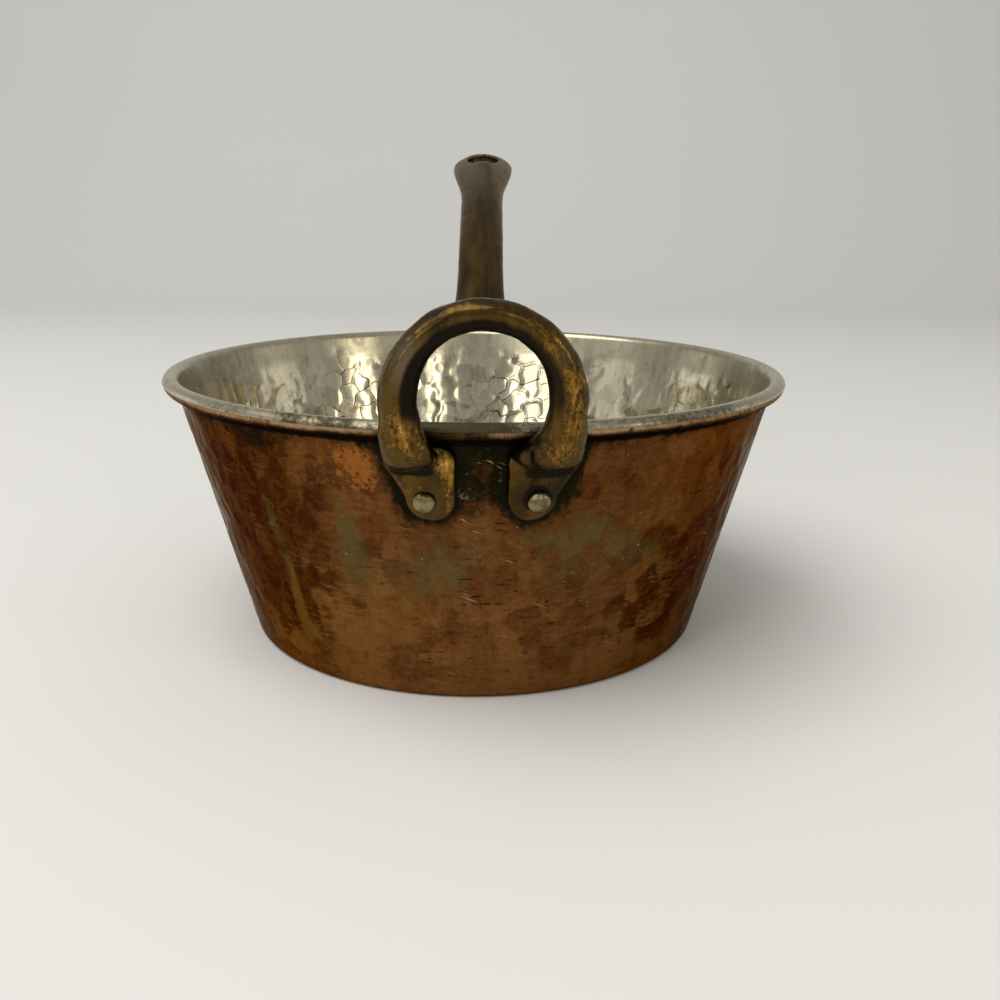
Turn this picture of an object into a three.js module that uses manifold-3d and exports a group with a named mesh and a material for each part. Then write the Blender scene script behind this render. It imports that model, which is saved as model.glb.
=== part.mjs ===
// Copper saucepan with sloping sides, tinned inside, with a wired rim, a long cast handle
// and a cast helper loop, all riveted.
// Millimetres, +Z up. The origin is the centre of the base's underside. The long handle
// points along +Y, and the helper loop stands on the other side, towards -Y.

import * as THREE from 'three';
import { mergeVertices } from 'three/addons/utils/BufferGeometryUtils.js';
import Module from 'manifold-3d';

const wasm = await Module();
wasm.setup();

// Pan
const RIM_DIAMETER = 240; // over the tinned bead
const PAN_HEIGHT = 102; // table to the top of the tinned bead
const BASE_DIAMETER = 179; // where the wall's outside meets the table
const BASE_CORNER_RADIUS = 3; // outside, between base and wall
const COPPER_THICKNESS = 1.2;
const TIN_THICKNESS = 0.3;
const TIN_GAP = 0.1; // between the copper and the tin
const TIN_EDGE_ANGLE = 10; // degrees above the bead's widest line, where the tin ends
const WIRE_DIAMETER = 2.4;
const WIRE_GAP = 0.2; // between the wire and the copper rolled round it
const CURL_EDGE_GAP = 0.4; // slit between the edge of the curl and the wall

// Riveted plates
const PLATE_GAP = 0.3; // between the wall and what is riveted to it
const PLATE_RIM_GAP = 1.2; // between the bead's underside and the plates below it
const RIVET_SHANK_DIAMETER = 4.4;
const RIVET_HOLE_GAP = 0.2; // round the shank
const RIVET_SEAT_GAP = 0.2; // under each head
const RIVET_HEAD_DIAMETER = 7.2;
const RIVET_HEAD_HEIGHT = 2.4;
const RIVET_TAIL_DIAMETER = 8.4; // hammered flat inside the pan
const RIVET_TAIL_HEIGHT = 0.5;

// Helper loop
const LOOP_TURN = 1.8; // degrees that the loop is riveted off the long handle's line
const LOOP_INSIDE_WIDTH = 37;
const LOOP_RISE = 37; // top of the loop above the rim
const LOOP_LEAN = 5; // degrees outwards
const LOOP_RIM_GAP = 1; // between the bead and the back of the bar
const LOOP_BAR_WIDTH = 11.3; // at the sides, seen from the front
const LOOP_BAR_DEPTH = 10; // seen from the side
const LOOP_TOP_WIDTH = 9.2; // at the top, seen from the front
const LOOP_KNEE_SPACING = 46.6; // between the middles of the legs, above the feet
const LOOP_FOOT_SPACING = 42; // between the middles of the two feet, at the lugs
const LOOP_FOOT_WIDTH = 15.5;
const LOOP_NECK_HEIGHT = 7.4; // where a foot turns back to its lug
const LOOP_ELBOW = 9; // reach of the bend at each foot
const LUG_THICKNESS = 3.4;
const LUG_RIVET_SPACING = 33.6;
const LUG_RIVET_DROP = 17.6; // rivet below the lug's top edge
const LUG_INNER_MARGIN = 9.2; // rivet to the lug's inner edge
const LUG_OUTER_MARGIN = 13; // rivet to the lug's outer edge
const LUG_OUTER_HEIGHT = 7; // upright part of the outer edge, below the top
const LUG_CORNER_RADIUS = 4; // outer corner at the top
const LUG_BOTTOM_MARGIN = 8.2; // rivet to the lug's lowest point
const LUG_TOE_OFFSET = 2; // lowest point, inwards from the rivet
const LUG_HEEL_OFFSET = 6.4; // lower outer edge, outwards from the rivet
const LUG_SHOULDER_RADIUS = 6; // inner corner at the top

// Long handle
const HANDLE_LENGTH = 228; // along its arch, wall to tip
const HANDLE_RIM_GAP = 0.6; // between the bead and the handle's crown
const HANDLE_ROOT_SLOPE = 41.6; // degrees above level at the wall
const HANDLE_TIP_SLOPE = 17.1; // degrees above level at the tip
const HANDLE_ROOT_WIDTH = 31;
const HANDLE_ROOT_BELLY = 8.5; // below the middle line
const HANDLE_ROOT_REACH = 80; // length of the flare at the wall
const HANDLE_WIDTH = 25.2;
const HANDLE_CROWN = 6.5; // above the middle line
const HANDLE_BELLY = 4.5;
const EYE_DIAMETER = 37.8;
const EYE_CROWN = 7.8;
const EYE_BELLY = 3.6;
const EYE_FLARE = 52; // length over which the shaft widens to the eye
const HANG_HOLE_DIAMETER = 19.4;
const FLANGE_WIDTH = 56;
const FLANGE_TOP_WIDTH = 32;
const FLANGE_THICKNESS = 3.4;
const FLANGE_TONGUE_RADIUS = 9; // round the lower rivet
const FLANGE_RIVET_SPACING = 41;
const FLANGE_RIVET_DROP = 11.2; // upper rivets below the flange's top edge
const FLANGE_LOWER_RIVET_DROP = 41.2; // lower rivet below the flange's top edge
const FLANGE_WAIST_DROP = 32.2; // where its sides draw in to the tongue

// Fineness of the round shapes
const TURN_STEPS = 64; // round the pan
const CURL_STEPS = 9; // round the bead
const TIN_EDGE_STEPS = 6; // over the bead
const CORNER_STEPS = 3; // round the base's corner
const WIRE_SIDES = 8;
const BAR_SIDES = 14;
const ARCH_STEPS = 9; // a quarter of the loop's arch
const BEND_STEPS = 5; // an elbow or a leg of the loop
const SHAFT_SIDES = 18;
const SHAFT_STEPS = 18;
const EYE_STEPS = 10; // round the tip of the eye
const OUTLINE_STEPS = 6; // each curve of a plate's outline
const RIVET_SIDES = 14;
const DOME_STEPS = 3;
const HOLE_SIDES = 28; // the eye's hole
const MERGE_DISTANCE = 1e-4;

// Colours and roughness of the metals
const COPPER = { color: 0x8a4b25, roughness: 0.42 };
const TIN = { color: 0x9c9686, roughness: 0.34 };
const IRON = { color: 0x3c3a38, roughness: 0.7 };
const CAST_BRASS = { color: 0x5d4a24, roughness: 0.42 };
const RIVET_BRASS = { color: 0xa89a6a, roughness: 0.45 };

const ACROSS = new THREE.Vector3(1, 0, 0);
const radians = THREE.MathUtils.degToRad;
const mix = THREE.MathUtils.lerp;
const ease = THREE.MathUtils.smoothstep;

// Where the wall, the bead and the base's corner run, as radius and height
const baseRadius = BASE_DIAMETER / 2;
const channelRadius = WIRE_DIAMETER / 2 + WIRE_GAP;
const beadRadius = channelRadius + COPPER_THICKNESS;
const tinnedRadius = beadRadius + TIN_GAP + TIN_THICKNESS;
const beadCentre = new THREE.Vector2(RIM_DIAMETER / 2 - tinnedRadius, PAN_HEIGHT - tinnedRadius);
// The wall's outside rises from the base's edge as a tangent of the wire's channel.
const wallSlope = tangentSlope(beadCentre.x - baseRadius, beadCentre.y, channelRadius);
const cornerCentre = new THREE.Vector2(
  baseRadius - BASE_CORNER_RADIUS * (1 - Math.sin(wallSlope)) / Math.cos(wallSlope),
  BASE_CORNER_RADIUS,
);
const plateTop = beadCentre.y - beadRadius - PLATE_RIM_GAP;
const lugRivetHeight = plateTop - LUG_RIVET_DROP;
const flangeRivetHeight = plateTop - FLANGE_RIVET_DROP;
const flangeLowerRivetHeight = plateTop - FLANGE_LOWER_RIVET_DROP;
const flangeWaistHeight = plateTop - FLANGE_WAIST_DROP;
const liningDepth = COPPER_THICKNESS + TIN_GAP + TIN_THICKNESS;

// Slope from upright of the line that starts at the origin and passes a circle on its inner side.
function tangentSlope(across, up, circleRadius) {
  return Math.acos(circleRadius / Math.hypot(across, up)) - Math.atan2(up, across);
}

// Radius of the wall's outside at a height, moved outwards by an offset.
function wallRadius(height, offset = 0) {
  return baseRadius + height * Math.tan(wallSlope) + offset / Math.cos(wallSlope);
}

function wallPoint(height, offset) {
  return new THREE.Vector2(wallRadius(height, offset), height);
}

// Points of an arc in a profile, with its angles in radians.
function arc(centre, radius, from, to, steps) {
  return Array.from({ length: steps + 1 }, (_, i) => {
    const angle = mix(from, to, i / steps);
    return new THREE.Vector2(centre.x + radius * Math.cos(angle), centre.y + radius * Math.sin(angle));
  });
}

// A closed solid from any closed geometry, with its faces turned outwards.
function solid(geometry) {
  geometry.deleteAttribute('normal');
  geometry.deleteAttribute('uv');
  const merged = mergeVertices(geometry, MERGE_DISTANCE);
  const corners = merged.index.array;
  const triangles = [];
  for (let i = 0; i < corners.length; i += 3) {
    const [a, b, c] = corners.slice(i, i + 3);
    if (a !== b && b !== c && c !== a) triangles.push([a, b, c]);
  }
  const points = merged.attributes.position;
  if (enclosedVolume(points, triangles) < 0) triangles.forEach((triangle) => triangle.reverse());
  return new wasm.Manifold(new wasm.Mesh({
    numProp: 3,
    vertProperties: new Float32Array(points.array),
    triVerts: new Uint32Array(triangles.flat()),
  }));
}

function enclosedVolume(points, triangles) {
  const corner = (i) => new THREE.Vector3().fromBufferAttribute(points, i);
  const sixths = triangles.map(([a, b, c]) => corner(a).dot(corner(b).cross(corner(c))));
  return sixths.reduce((sum, value) => sum + value, 0);
}

function geometryOf(body) {
  const { vertProperties, triVerts } = body.getMesh();
  const geometry = new THREE.BufferGeometry();
  geometry.setAttribute('position', new THREE.BufferAttribute(vertProperties, 3));
  geometry.setIndex(new THREE.BufferAttribute(triVerts, 1));
  geometry.computeVertexNormals();
  return geometry;
}

// A profile of radius and height turned round the upright axis.
function revolve(profile) {
  return new THREE.LatheGeometry(profile, TURN_STEPS).rotateX(Math.PI / 2);
}

function closedRing(profile) {
  return revolve([...profile, profile[0]]);
}

// A closed skin over rings of equally many points, with flat ends.
function loft(rings) {
  const sides = rings[0].length;
  const last = (rings.length - 1) * sides;
  const index = [];
  for (let start = 0; start < last; start += sides) {
    for (let i = 0; i < sides; i++) {
      const here = start + i;
      const next = start + (i + 1) % sides;
      index.push(here, next, next + sides, here, next + sides, here + sides);
    }
  }
  for (let i = 1; i < sides - 1; i++) {
    index.push(0, i + 1, i, last, last + i, last + i + 1);
  }
  const geometry = new THREE.BufferGeometry().setFromPoints(rings.flat());
  return geometry.setIndex(index);
}

// One oval ring of a loft, from its centre, its two unit directions, its half width,
// and its reach above and below its widest line.
function oval(centre, across, halfWidth, over, above, below, sides) {
  return Array.from({ length: sides }, (_, i) => {
    const angle = i / sides * 2 * Math.PI;
    const height = Math.sin(angle) * (i < sides / 2 ? above : below);
    return centre.clone()
      .addScaledVector(across, halfWidth * Math.cos(angle))
      .addScaledVector(over, height);
  });
}

// Copper bowl: one sheet that runs out along the base, up the wall and round the wire.
function panBody() {
  const wallSide = Math.PI - wallSlope;
  const curlEdge = -wallSlope - Math.acos((CURL_EDGE_GAP - channelRadius) / beadRadius);
  const innerCorner = BASE_CORNER_RADIUS - COPPER_THICKNESS;
  const profile = [
    new THREE.Vector2(0, 0),
    ...arc(cornerCentre, BASE_CORNER_RADIUS, -Math.PI / 2, -wallSlope, CORNER_STEPS),
    ...arc(beadCentre, channelRadius, wallSide, curlEdge, CURL_STEPS),
    ...arc(beadCentre, beadRadius, curlEdge, wallSide, CURL_STEPS),
    ...arc(cornerCentre, innerCorner, -wallSlope, -Math.PI / 2, CORNER_STEPS),
    new THREE.Vector2(0, COPPER_THICKNESS),
  ];
  return drilled(solid(revolve(profile)));
}

// Tin layer: follows the inside of the copper and ends on the bead.
function tinLining() {
  const wallSide = Math.PI - wallSlope;
  const edge = radians(TIN_EDGE_ANGLE);
  const outerCorner = BASE_CORNER_RADIUS - COPPER_THICKNESS - TIN_GAP;
  const innerCorner = outerCorner - TIN_THICKNESS;
  const profile = [
    new THREE.Vector2(0, liningDepth - TIN_THICKNESS),
    ...arc(cornerCentre, outerCorner, -Math.PI / 2, -wallSlope, CORNER_STEPS),
    ...arc(beadCentre, beadRadius + TIN_GAP, wallSide, edge, TIN_EDGE_STEPS),
    ...arc(beadCentre, tinnedRadius, edge, wallSide, TIN_EDGE_STEPS),
    ...arc(cornerCentre, innerCorner, -wallSlope, -Math.PI / 2, CORNER_STEPS),
    new THREE.Vector2(0, liningDepth),
  ];
  return drilled(solid(revolve(profile)));
}

function rimWire() {
  const ring = new THREE.TorusGeometry(beadCentre.x, WIRE_DIAMETER / 2, WIRE_SIDES, TURN_STEPS);
  ring.translate(0, 0, beadCentre.y);
  return solid(ring);
}

// Rivet seats: each is a place on the wall, across from its handle's middle line and up.
const loopSeats = {
  loop_rivet_left: { across: LUG_RIVET_SPACING / 2, height: lugRivetHeight },
  loop_rivet_right: { across: -LUG_RIVET_SPACING / 2, height: lugRivetHeight },
};
const handleSeats = {
  handle_rivet_left: { across: -FLANGE_RIVET_SPACING / 2, height: flangeRivetHeight },
  handle_rivet_right: { across: FLANGE_RIVET_SPACING / 2, height: flangeRivetHeight },
  handle_rivet_lower: { across: 0, height: flangeLowerRivetHeight },
};
const loopTurn = Math.PI + radians(LOOP_TURN);

// Placement on the wall's outside at a seat, with +Y square to the wall.
function seatPlacement({ across, height }) {
  const radius = wallRadius(height);
  const aside = new THREE.Matrix4().makeRotationZ(-Math.asin(across / radius));
  const out = new THREE.Matrix4().makeTranslation(0, radius, height);
  const tilt = new THREE.Matrix4().makeRotationX(-wallSlope);
  return aside.multiply(out).multiply(tilt);
}

// Takes the rivet holes of one handle, turned to its place round the pan, out of a body.
function withHoles(body, seats, turn = 0) {
  const radius = RIVET_SHANK_DIAMETER / 2 + RIVET_HOLE_GAP;
  const reach = liningDepth + PLATE_GAP + Math.max(LUG_THICKNESS, FLANGE_THICKNESS) + RIVET_HEAD_HEIGHT;
  return Object.values(seats).reduce((left, seat) => {
    const drill = new THREE.CylinderGeometry(radius, radius, 2 * reach, RIVET_SIDES);
    drill.applyMatrix4(seatPlacement(seat)).rotateZ(turn);
    return left.subtract(solid(drill));
  }, body);
}

// Takes every rivet hole out of a body of the pan.
function drilled(body) {
  return withHoles(withHoles(body, loopSeats, loopTurn), handleSeats);
}

// Rivet along +Y from the wall's outside: a flat tail inside the pan, a shank and a domed head.
function rivet(plateThickness) {
  const shank = RIVET_SHANK_DIAMETER / 2;
  const tail = RIVET_TAIL_DIAMETER / 2;
  const head = RIVET_HEAD_DIAMETER / 2;
  const tailSeat = -liningDepth - RIVET_SEAT_GAP;
  const headSeat = PLATE_GAP + plateThickness + RIVET_SEAT_GAP;
  const dome = (radius, seat, height, from, to) => arc(new THREE.Vector2(), 1, from, to, DOME_STEPS)
    .map((point) => new THREE.Vector2(Math.max(0, radius * point.x), seat + height * point.y));
  const profile = [
    ...dome(tail, tailSeat, RIVET_TAIL_HEIGHT, -Math.PI / 2, 0),
    new THREE.Vector2(shank, tailSeat),
    new THREE.Vector2(shank, headSeat),
    ...dome(head, headSeat, RIVET_HEAD_HEIGHT, 0, Math.PI / 2),
  ];
  return solid(new THREE.LatheGeometry(profile, RIVET_SIDES));
}

// Everything inside the wall's outside, with the gap that riveted pieces keep to it.
function wallClearance() {
  const profile = [
    new THREE.Vector2(0, 0),
    wallPoint(0, PLATE_GAP),
    wallPoint(PAN_HEIGHT, PLATE_GAP),
    new THREE.Vector2(0, PAN_HEIGHT),
  ];
  return solid(revolve(profile));
}

// Plate bent to the wall: an outline drawn across and up, cut out of a cone-shaped shell.
// A side of -1 mirrors the outline.
function wallPlate(outline, thickness, side = 1) {
  const prism = new THREE.ExtrudeGeometry(outline, {
    depth: RIM_DIAMETER,
    bevelEnabled: false,
    curveSegments: OUTLINE_STEPS,
  });
  prism.rotateX(Math.PI / 2).translate(0, RIM_DIAMETER, 0).scale(side, 1, 1);
  const shell = closedRing([
    wallPoint(0, PLATE_GAP),
    wallPoint(0, PLATE_GAP + thickness),
    wallPoint(PAN_HEIGHT, PLATE_GAP + thickness),
    wallPoint(PAN_HEIGHT, PLATE_GAP),
  ]);
  return solid(prism).intersect(solid(shell));
}

// Outline of one lug: round inner shoulder, round toe under the rivet, slanting heel.
function lugOutline() {
  const rivetX = LUG_RIVET_SPACING / 2;
  const inner = rivetX - LUG_INNER_MARGIN;
  const toe = rivetX - LUG_TOE_OFFSET;
  const heel = rivetX + LUG_HEEL_OFFSET;
  const outer = rivetX + LUG_OUTER_MARGIN;
  const corner = outer - LUG_CORNER_RADIUS;
  const shoulder = inner + LUG_SHOULDER_RADIUS;
  const outline = new THREE.Shape();
  outline.moveTo(outer, plateTop - LUG_OUTER_HEIGHT);
  outline.lineTo(outer, plateTop - LUG_CORNER_RADIUS);
  outline.absarc(corner, plateTop - LUG_CORNER_RADIUS, LUG_CORNER_RADIUS, 0, Math.PI / 2);
  outline.lineTo(shoulder, plateTop);
  outline.absarc(shoulder, plateTop - LUG_SHOULDER_RADIUS, LUG_SHOULDER_RADIUS, Math.PI / 2, Math.PI);
  outline.absellipse(toe, lugRivetHeight, toe - inner, LUG_BOTTOM_MARGIN, Math.PI, 1.5 * Math.PI);
  outline.absellipse(toe, lugRivetHeight, heel - toe, LUG_BOTTOM_MARGIN, 1.5 * Math.PI, 2 * Math.PI);
  return outline;
}

// Middle line of half the loop: out of the lug, round the elbow, up the leg and over the arch.
function loopHalfLine() {
  const halfSpan = (LOOP_INSIDE_WIDTH + LOOP_BAR_WIDTH) / 2;
  const archHeight = PAN_HEIGHT + LOOP_RISE - LOOP_TOP_WIDTH / 2 - halfSpan;
  const neckHeight = plateTop - LOOP_NECK_HEIGHT / 2;
  const kneeHeight = neckHeight + LOOP_ELBOW;
  const foot = LOOP_FOOT_SPACING / 2;
  const kneeX = LOOP_KNEE_SPACING / 2;
  const standOff = RIM_DIAMETER / 2 + LOOP_RIM_GAP + LOOP_BAR_DEPTH / 2;
  const lean = Math.tan(radians(LOOP_LEAN));
  const at = (x, z) => new THREE.Vector3(x, standOff + (z - beadCentre.y) * lean, z);
  const knee = at(kneeX, kneeHeight);
  const elbowCorner = new THREE.Vector3(foot, knee.y, neckHeight);
  const neck = new THREE.Vector3(foot, knee.y - LOOP_ELBOW, neckHeight);
  const root = new THREE.Vector3(foot, wallRadius(neckHeight) - LUG_THICKNESS, neckHeight);
  const elbow = new THREE.QuadraticBezierCurve3(neck, elbowCorner, knee);
  const legRise = archHeight - kneeHeight;
  const leg = new THREE.CubicBezierCurve3(
    knee,
    at(kneeX, kneeHeight + legRise / 2),
    at(halfSpan, archHeight - legRise / 2),
    at(halfSpan, archHeight),
  );
  const arch = arc(new THREE.Vector2(0, archHeight), halfSpan, 0, Math.PI / 2, ARCH_STEPS)
    .map((point) => at(point.x, point.y));
  return [root, ...elbow.getPoints(BEND_STEPS), ...leg.getPoints(BEND_STEPS).slice(1), ...arch.slice(1)];
}

// Bar of the loop: an oval that is flat at the necks, widest at the feet and slim at the top.
function loopBar() {
  const half = loopHalfLine();
  const top = half[half.length - 1].z;
  const neckHeight = half[0].z;
  const archHeight = top - (LOOP_INSIDE_WIDTH + LOOP_BAR_WIDTH) / 2;
  const mirrored = half.slice(0, -1).reverse().map((point) => point.clone().setX(-point.x));
  const line = [...half, ...mirrored];
  const widthAt = (z) => mix(
    mix(LOOP_FOOT_WIDTH, LOOP_BAR_WIDTH, ease(z, neckHeight, archHeight)),
    LOOP_TOP_WIDTH,
    ease(z, archHeight, top),
  );
  const depthAt = (z) => mix(LOOP_NECK_HEIGHT, LOOP_BAR_DEPTH, ease(z, neckHeight, archHeight));
  const across = ACROSS.clone();
  const rings = line.map((point, i) => {
    const before = line[Math.max(i - 1, 0)];
    const after = line[Math.min(i + 1, line.length - 1)];
    const along = after.clone().sub(before).normalize();
    across.addScaledVector(along, -across.dot(along)).normalize();
    const over = along.clone().cross(across);
    const halfDepth = depthAt(point.z) / 2;
    return oval(point, across, widthAt(point.z) / 2, over, halfDepth, halfDepth, BAR_SIDES);
  });
  return solid(loft(rings));
}

function loopHandle() {
  const casting = loopBar()
    .add(wallPlate(lugOutline(), LUG_THICKNESS))
    .add(wallPlate(lugOutline(), LUG_THICKNESS, -1));
  return withHoles(casting.subtract(wallClearance()), loopSeats);
}

// Height where the long handle's middle line leaves the wall, so that its crown clears the bead.
function handleRootHeight() {
  const slope = radians(HANDLE_ROOT_SLOPE);
  const clearance = tinnedRadius + HANDLE_RIM_GAP + HANDLE_CROWN;
  const level = beadCentre.y * Math.cos(slope) - (beadCentre.x - baseRadius) * Math.sin(slope) - clearance;
  return level / (Math.cos(slope) - Math.tan(wallSlope) * Math.sin(slope));
}

// A place on the long handle's arch, a distance along it from the wall: point, direction and normal.
function archPlace(distance) {
  const rootSlope = radians(HANDLE_ROOT_SLOPE);
  const tipSlope = radians(HANDLE_TIP_SLOPE);
  const archRadius = HANDLE_LENGTH / (rootSlope - tipSlope);
  const slope = rootSlope - distance / archRadius;
  const rootHeight = handleRootHeight();
  const point = new THREE.Vector3(
    0,
    wallRadius(rootHeight) + archRadius * (Math.sin(rootSlope) - Math.sin(slope)),
    rootHeight + archRadius * (Math.cos(slope) - Math.cos(rootSlope)),
  );
  const along = new THREE.Vector3(0, Math.cos(slope), Math.sin(slope));
  return { point, along, normal: ACROSS.clone().cross(along) };
}

// Shaft and eye: an oval along the arch that flares at the wall and widens to a round eye.
function handleShaft() {
  const eyeRadius = EYE_DIAMETER / 2;
  const eyeCentre = HANDLE_LENGTH - eyeRadius;
  const start = -HANDLE_CROWN - HANDLE_ROOT_BELLY;
  const shaftStops = Array.from({ length: SHAFT_STEPS }, (_, i) => mix(start, eyeCentre, i / SHAFT_STEPS));
  const tipStops = Array.from({ length: EYE_STEPS }, (_, i) => i / EYE_STEPS * Math.PI / 2);
  const shaftRings = shaftStops.map((distance) => {
    const root = 1 - ease(distance, 0, HANDLE_ROOT_REACH);
    const eye = ease(distance, eyeCentre - EYE_FLARE, eyeCentre);
    const width = mix(mix(HANDLE_WIDTH, HANDLE_ROOT_WIDTH, root), EYE_DIAMETER, eye);
    const crown = mix(HANDLE_CROWN, EYE_CROWN, eye);
    const belly = mix(mix(HANDLE_BELLY, HANDLE_ROOT_BELLY, root), EYE_BELLY, eye);
    return shaftRing(distance, width, crown, belly);
  });
  const tipRings = tipStops.map((angle) => {
    const fall = Math.sqrt(Math.cos(angle));
    const width = EYE_DIAMETER * Math.cos(angle);
    return shaftRing(eyeCentre + eyeRadius * Math.sin(angle), width, EYE_CROWN * fall, EYE_BELLY * fall);
  });
  return solid(loft([...shaftRings, ...tipRings]));
}

function shaftRing(distance, width, crown, belly) {
  const { point, normal } = archPlace(distance);
  return oval(point, ACROSS, width / 2, normal, crown, belly, SHAFT_SIDES);
}

// Hole that the pan hangs by, square to the eye.
function hangHole() {
  const radius = HANG_HOLE_DIAMETER / 2;
  const { point, normal } = archPlace(HANDLE_LENGTH - EYE_DIAMETER / 2);
  const drill = new THREE.CylinderGeometry(radius, radius, EYE_DIAMETER, HOLE_SIDES);
  const turn = new THREE.Quaternion().setFromUnitVectors(new THREE.Vector3(0, 1, 0), normal);
  drill.applyQuaternion(turn).translate(point.x, point.y, point.z);
  return solid(drill);
}

// Outline of the flange: wide shoulders for two rivets, drawn in to a tongue round the lower one.
function flangeOutline() {
  const half = FLANGE_WIDTH / 2;
  const shoulder = FLANGE_TOP_WIDTH / 2;
  const outline = new THREE.Shape();
  outline.moveTo(-shoulder, plateTop);
  outline.lineTo(shoulder, plateTop);
  outline.quadraticCurveTo(half, plateTop, half, flangeRivetHeight);
  outline.bezierCurveTo(
    half, flangeWaistHeight,
    FLANGE_TONGUE_RADIUS, flangeWaistHeight,
    FLANGE_TONGUE_RADIUS, flangeLowerRivetHeight,
  );
  outline.absarc(0, flangeLowerRivetHeight, FLANGE_TONGUE_RADIUS, 0, -Math.PI, true);
  outline.bezierCurveTo(
    -FLANGE_TONGUE_RADIUS, flangeWaistHeight,
    -half, flangeWaistHeight,
    -half, flangeRivetHeight,
  );
  outline.quadraticCurveTo(-half, plateTop, -shoulder, plateTop);
  return outline;
}

function longHandle() {
  const casting = handleShaft().subtract(hangHole()).add(wallPlate(flangeOutline(), FLANGE_THICKNESS));
  return withHoles(casting.subtract(wallClearance()), handleSeats);
}

function mesh(name, body, metal) {
  const material = new THREE.MeshStandardMaterial({ ...metal, metalness: 1 });
  const piece = new THREE.Mesh(geometryOf(body), material);
  piece.name = name;
  return piece;
}

function rivetMeshes(seats, plateThickness) {
  return Object.entries(seats).map(([name, seat]) => {
    const piece = mesh(name, rivet(plateThickness), RIVET_BRASS);
    piece.applyMatrix4(seatPlacement(seat));
    return piece;
  });
}

const pan = new THREE.Group();
pan.add(mesh('pan_body', panBody(), COPPER));
pan.add(mesh('tin_lining', tinLining(), TIN));
pan.add(mesh('rim_wire', rimWire(), IRON));

const loop = new THREE.Group();
loop.rotation.z = loopTurn;
loop.add(mesh('loop_handle', loopHandle(), CAST_BRASS));
loop.add(...rivetMeshes(loopSeats, LUG_THICKNESS));

const handle = new THREE.Group();
handle.add(mesh('long_handle', longHandle(), CAST_BRASS));
handle.add(...rivetMeshes(handleSeats, FLANGE_THICKNESS));

const saucepan = new THREE.Group();
saucepan.add(pan, loop, handle);

export default saucepan;
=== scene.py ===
"""A hammered copper saucepan, tinned inside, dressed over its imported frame. Metres, +Z up."""

import math

import bpy
import numpy as np
from bpy.props import FloatProperty, FloatVectorProperty, IntProperty, PointerProperty
from mathutils import Matrix, Vector


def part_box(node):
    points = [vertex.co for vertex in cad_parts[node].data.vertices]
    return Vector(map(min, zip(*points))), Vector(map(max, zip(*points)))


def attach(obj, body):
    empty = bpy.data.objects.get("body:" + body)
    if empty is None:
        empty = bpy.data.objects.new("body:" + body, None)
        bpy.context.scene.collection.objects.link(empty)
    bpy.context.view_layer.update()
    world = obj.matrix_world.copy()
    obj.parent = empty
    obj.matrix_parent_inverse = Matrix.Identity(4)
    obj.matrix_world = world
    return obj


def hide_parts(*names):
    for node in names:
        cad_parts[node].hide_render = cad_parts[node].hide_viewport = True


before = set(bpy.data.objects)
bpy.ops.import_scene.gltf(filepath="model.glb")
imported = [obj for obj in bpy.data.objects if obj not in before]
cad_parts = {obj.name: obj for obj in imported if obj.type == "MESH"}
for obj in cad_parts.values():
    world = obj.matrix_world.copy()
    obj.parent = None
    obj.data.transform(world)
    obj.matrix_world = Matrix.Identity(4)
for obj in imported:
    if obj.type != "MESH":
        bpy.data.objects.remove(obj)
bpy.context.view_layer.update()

bl_info = {
    "name": "Hammered Copper Saucepan",
    "version": (1, 0, 0),
    "blender": (4, 5, 0),
    "location": "View3D > Sidebar > Saucepan",
    "description": "Builds a hammered copper saucepan with cast brass handles and its stage",
    "category": "Add Mesh",
}

BODY = "root"
MM = 0.001

# Gloss of the metals: the thin film on them, and the tint of what they reflect at a glance
FILM_ROUGHNESS = 0.2
COPPER_FILM = 0.03
BRASS_FILM = 0.12
COPPER_GLANCE = (0.5, 0.42, 0.34)
BRASS_GLANCE = (0.85, 0.83, 0.8)

# Sizes of the pan, as in its solids
RIM_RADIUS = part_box("tin_lining")[1].y
PAN_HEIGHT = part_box("tin_lining")[1].z
BASE_RADIUS = 89.5 * MM
CORNER_RADIUS = 3 * MM
COPPER = 1.2 * MM
TIN = 0.3 * MM
TIN_GAP = 0.1 * MM
TIN_EDGE = math.radians(10)
WIRE_RADIUS = 1.2 * MM
WIRE_GAP = 0.2 * MM
CURL_GAP = 0.4 * MM

# Sizes of the riveted plates
PLATE_GAP = 0.3 * MM
PLATE_RIM_GAP = 1.2 * MM
PLATE = 3.4 * MM
PLATE_ROUNDNESS = 6
RIVET_SHANK = 2.2 * MM
RIVET_HEAD = 3.6 * MM
RIVET_DOME = 2.4 * MM
RIVET_TAIL = 4.2 * MM
RIVET_TAIL_DOME = 0.12 * MM
RIVET_FOOT = 0.3 * MM
RIVET_SEAT_GAP = 0.2 * MM
RIVET_DENTS = ((3.4 * MM, 0.16 * MM), (1.6 * MM, 0.05 * MM))
RIVET_SEED = 60
TAIL_SINK = 0.1 * MM

# Sizes that follow from these. The wall's outside is a tangent from the base's edge to the wire's channel,
# and its slope is counted from upright.
CHANNEL_RADIUS = WIRE_RADIUS + WIRE_GAP
BEAD_RADIUS = CHANNEL_RADIUS + COPPER
TINNED_RADIUS = BEAD_RADIUS + TIN_GAP + TIN
BEAD_CENTRE = (RIM_RADIUS - TINNED_RADIUS, PAN_HEIGHT - TINNED_RADIUS)
LINING_DEPTH = COPPER + TIN_GAP + TIN
WALL_ACROSS = BEAD_CENTRE[0] - BASE_RADIUS
WALL_SLOPE = math.acos(CHANNEL_RADIUS / math.hypot(WALL_ACROSS, BEAD_CENTRE[1]))
WALL_SLOPE -= math.atan2(BEAD_CENTRE[1], WALL_ACROSS)
CORNER_INSET = CORNER_RADIUS * (1 - math.sin(WALL_SLOPE)) / math.cos(WALL_SLOPE)
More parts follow.
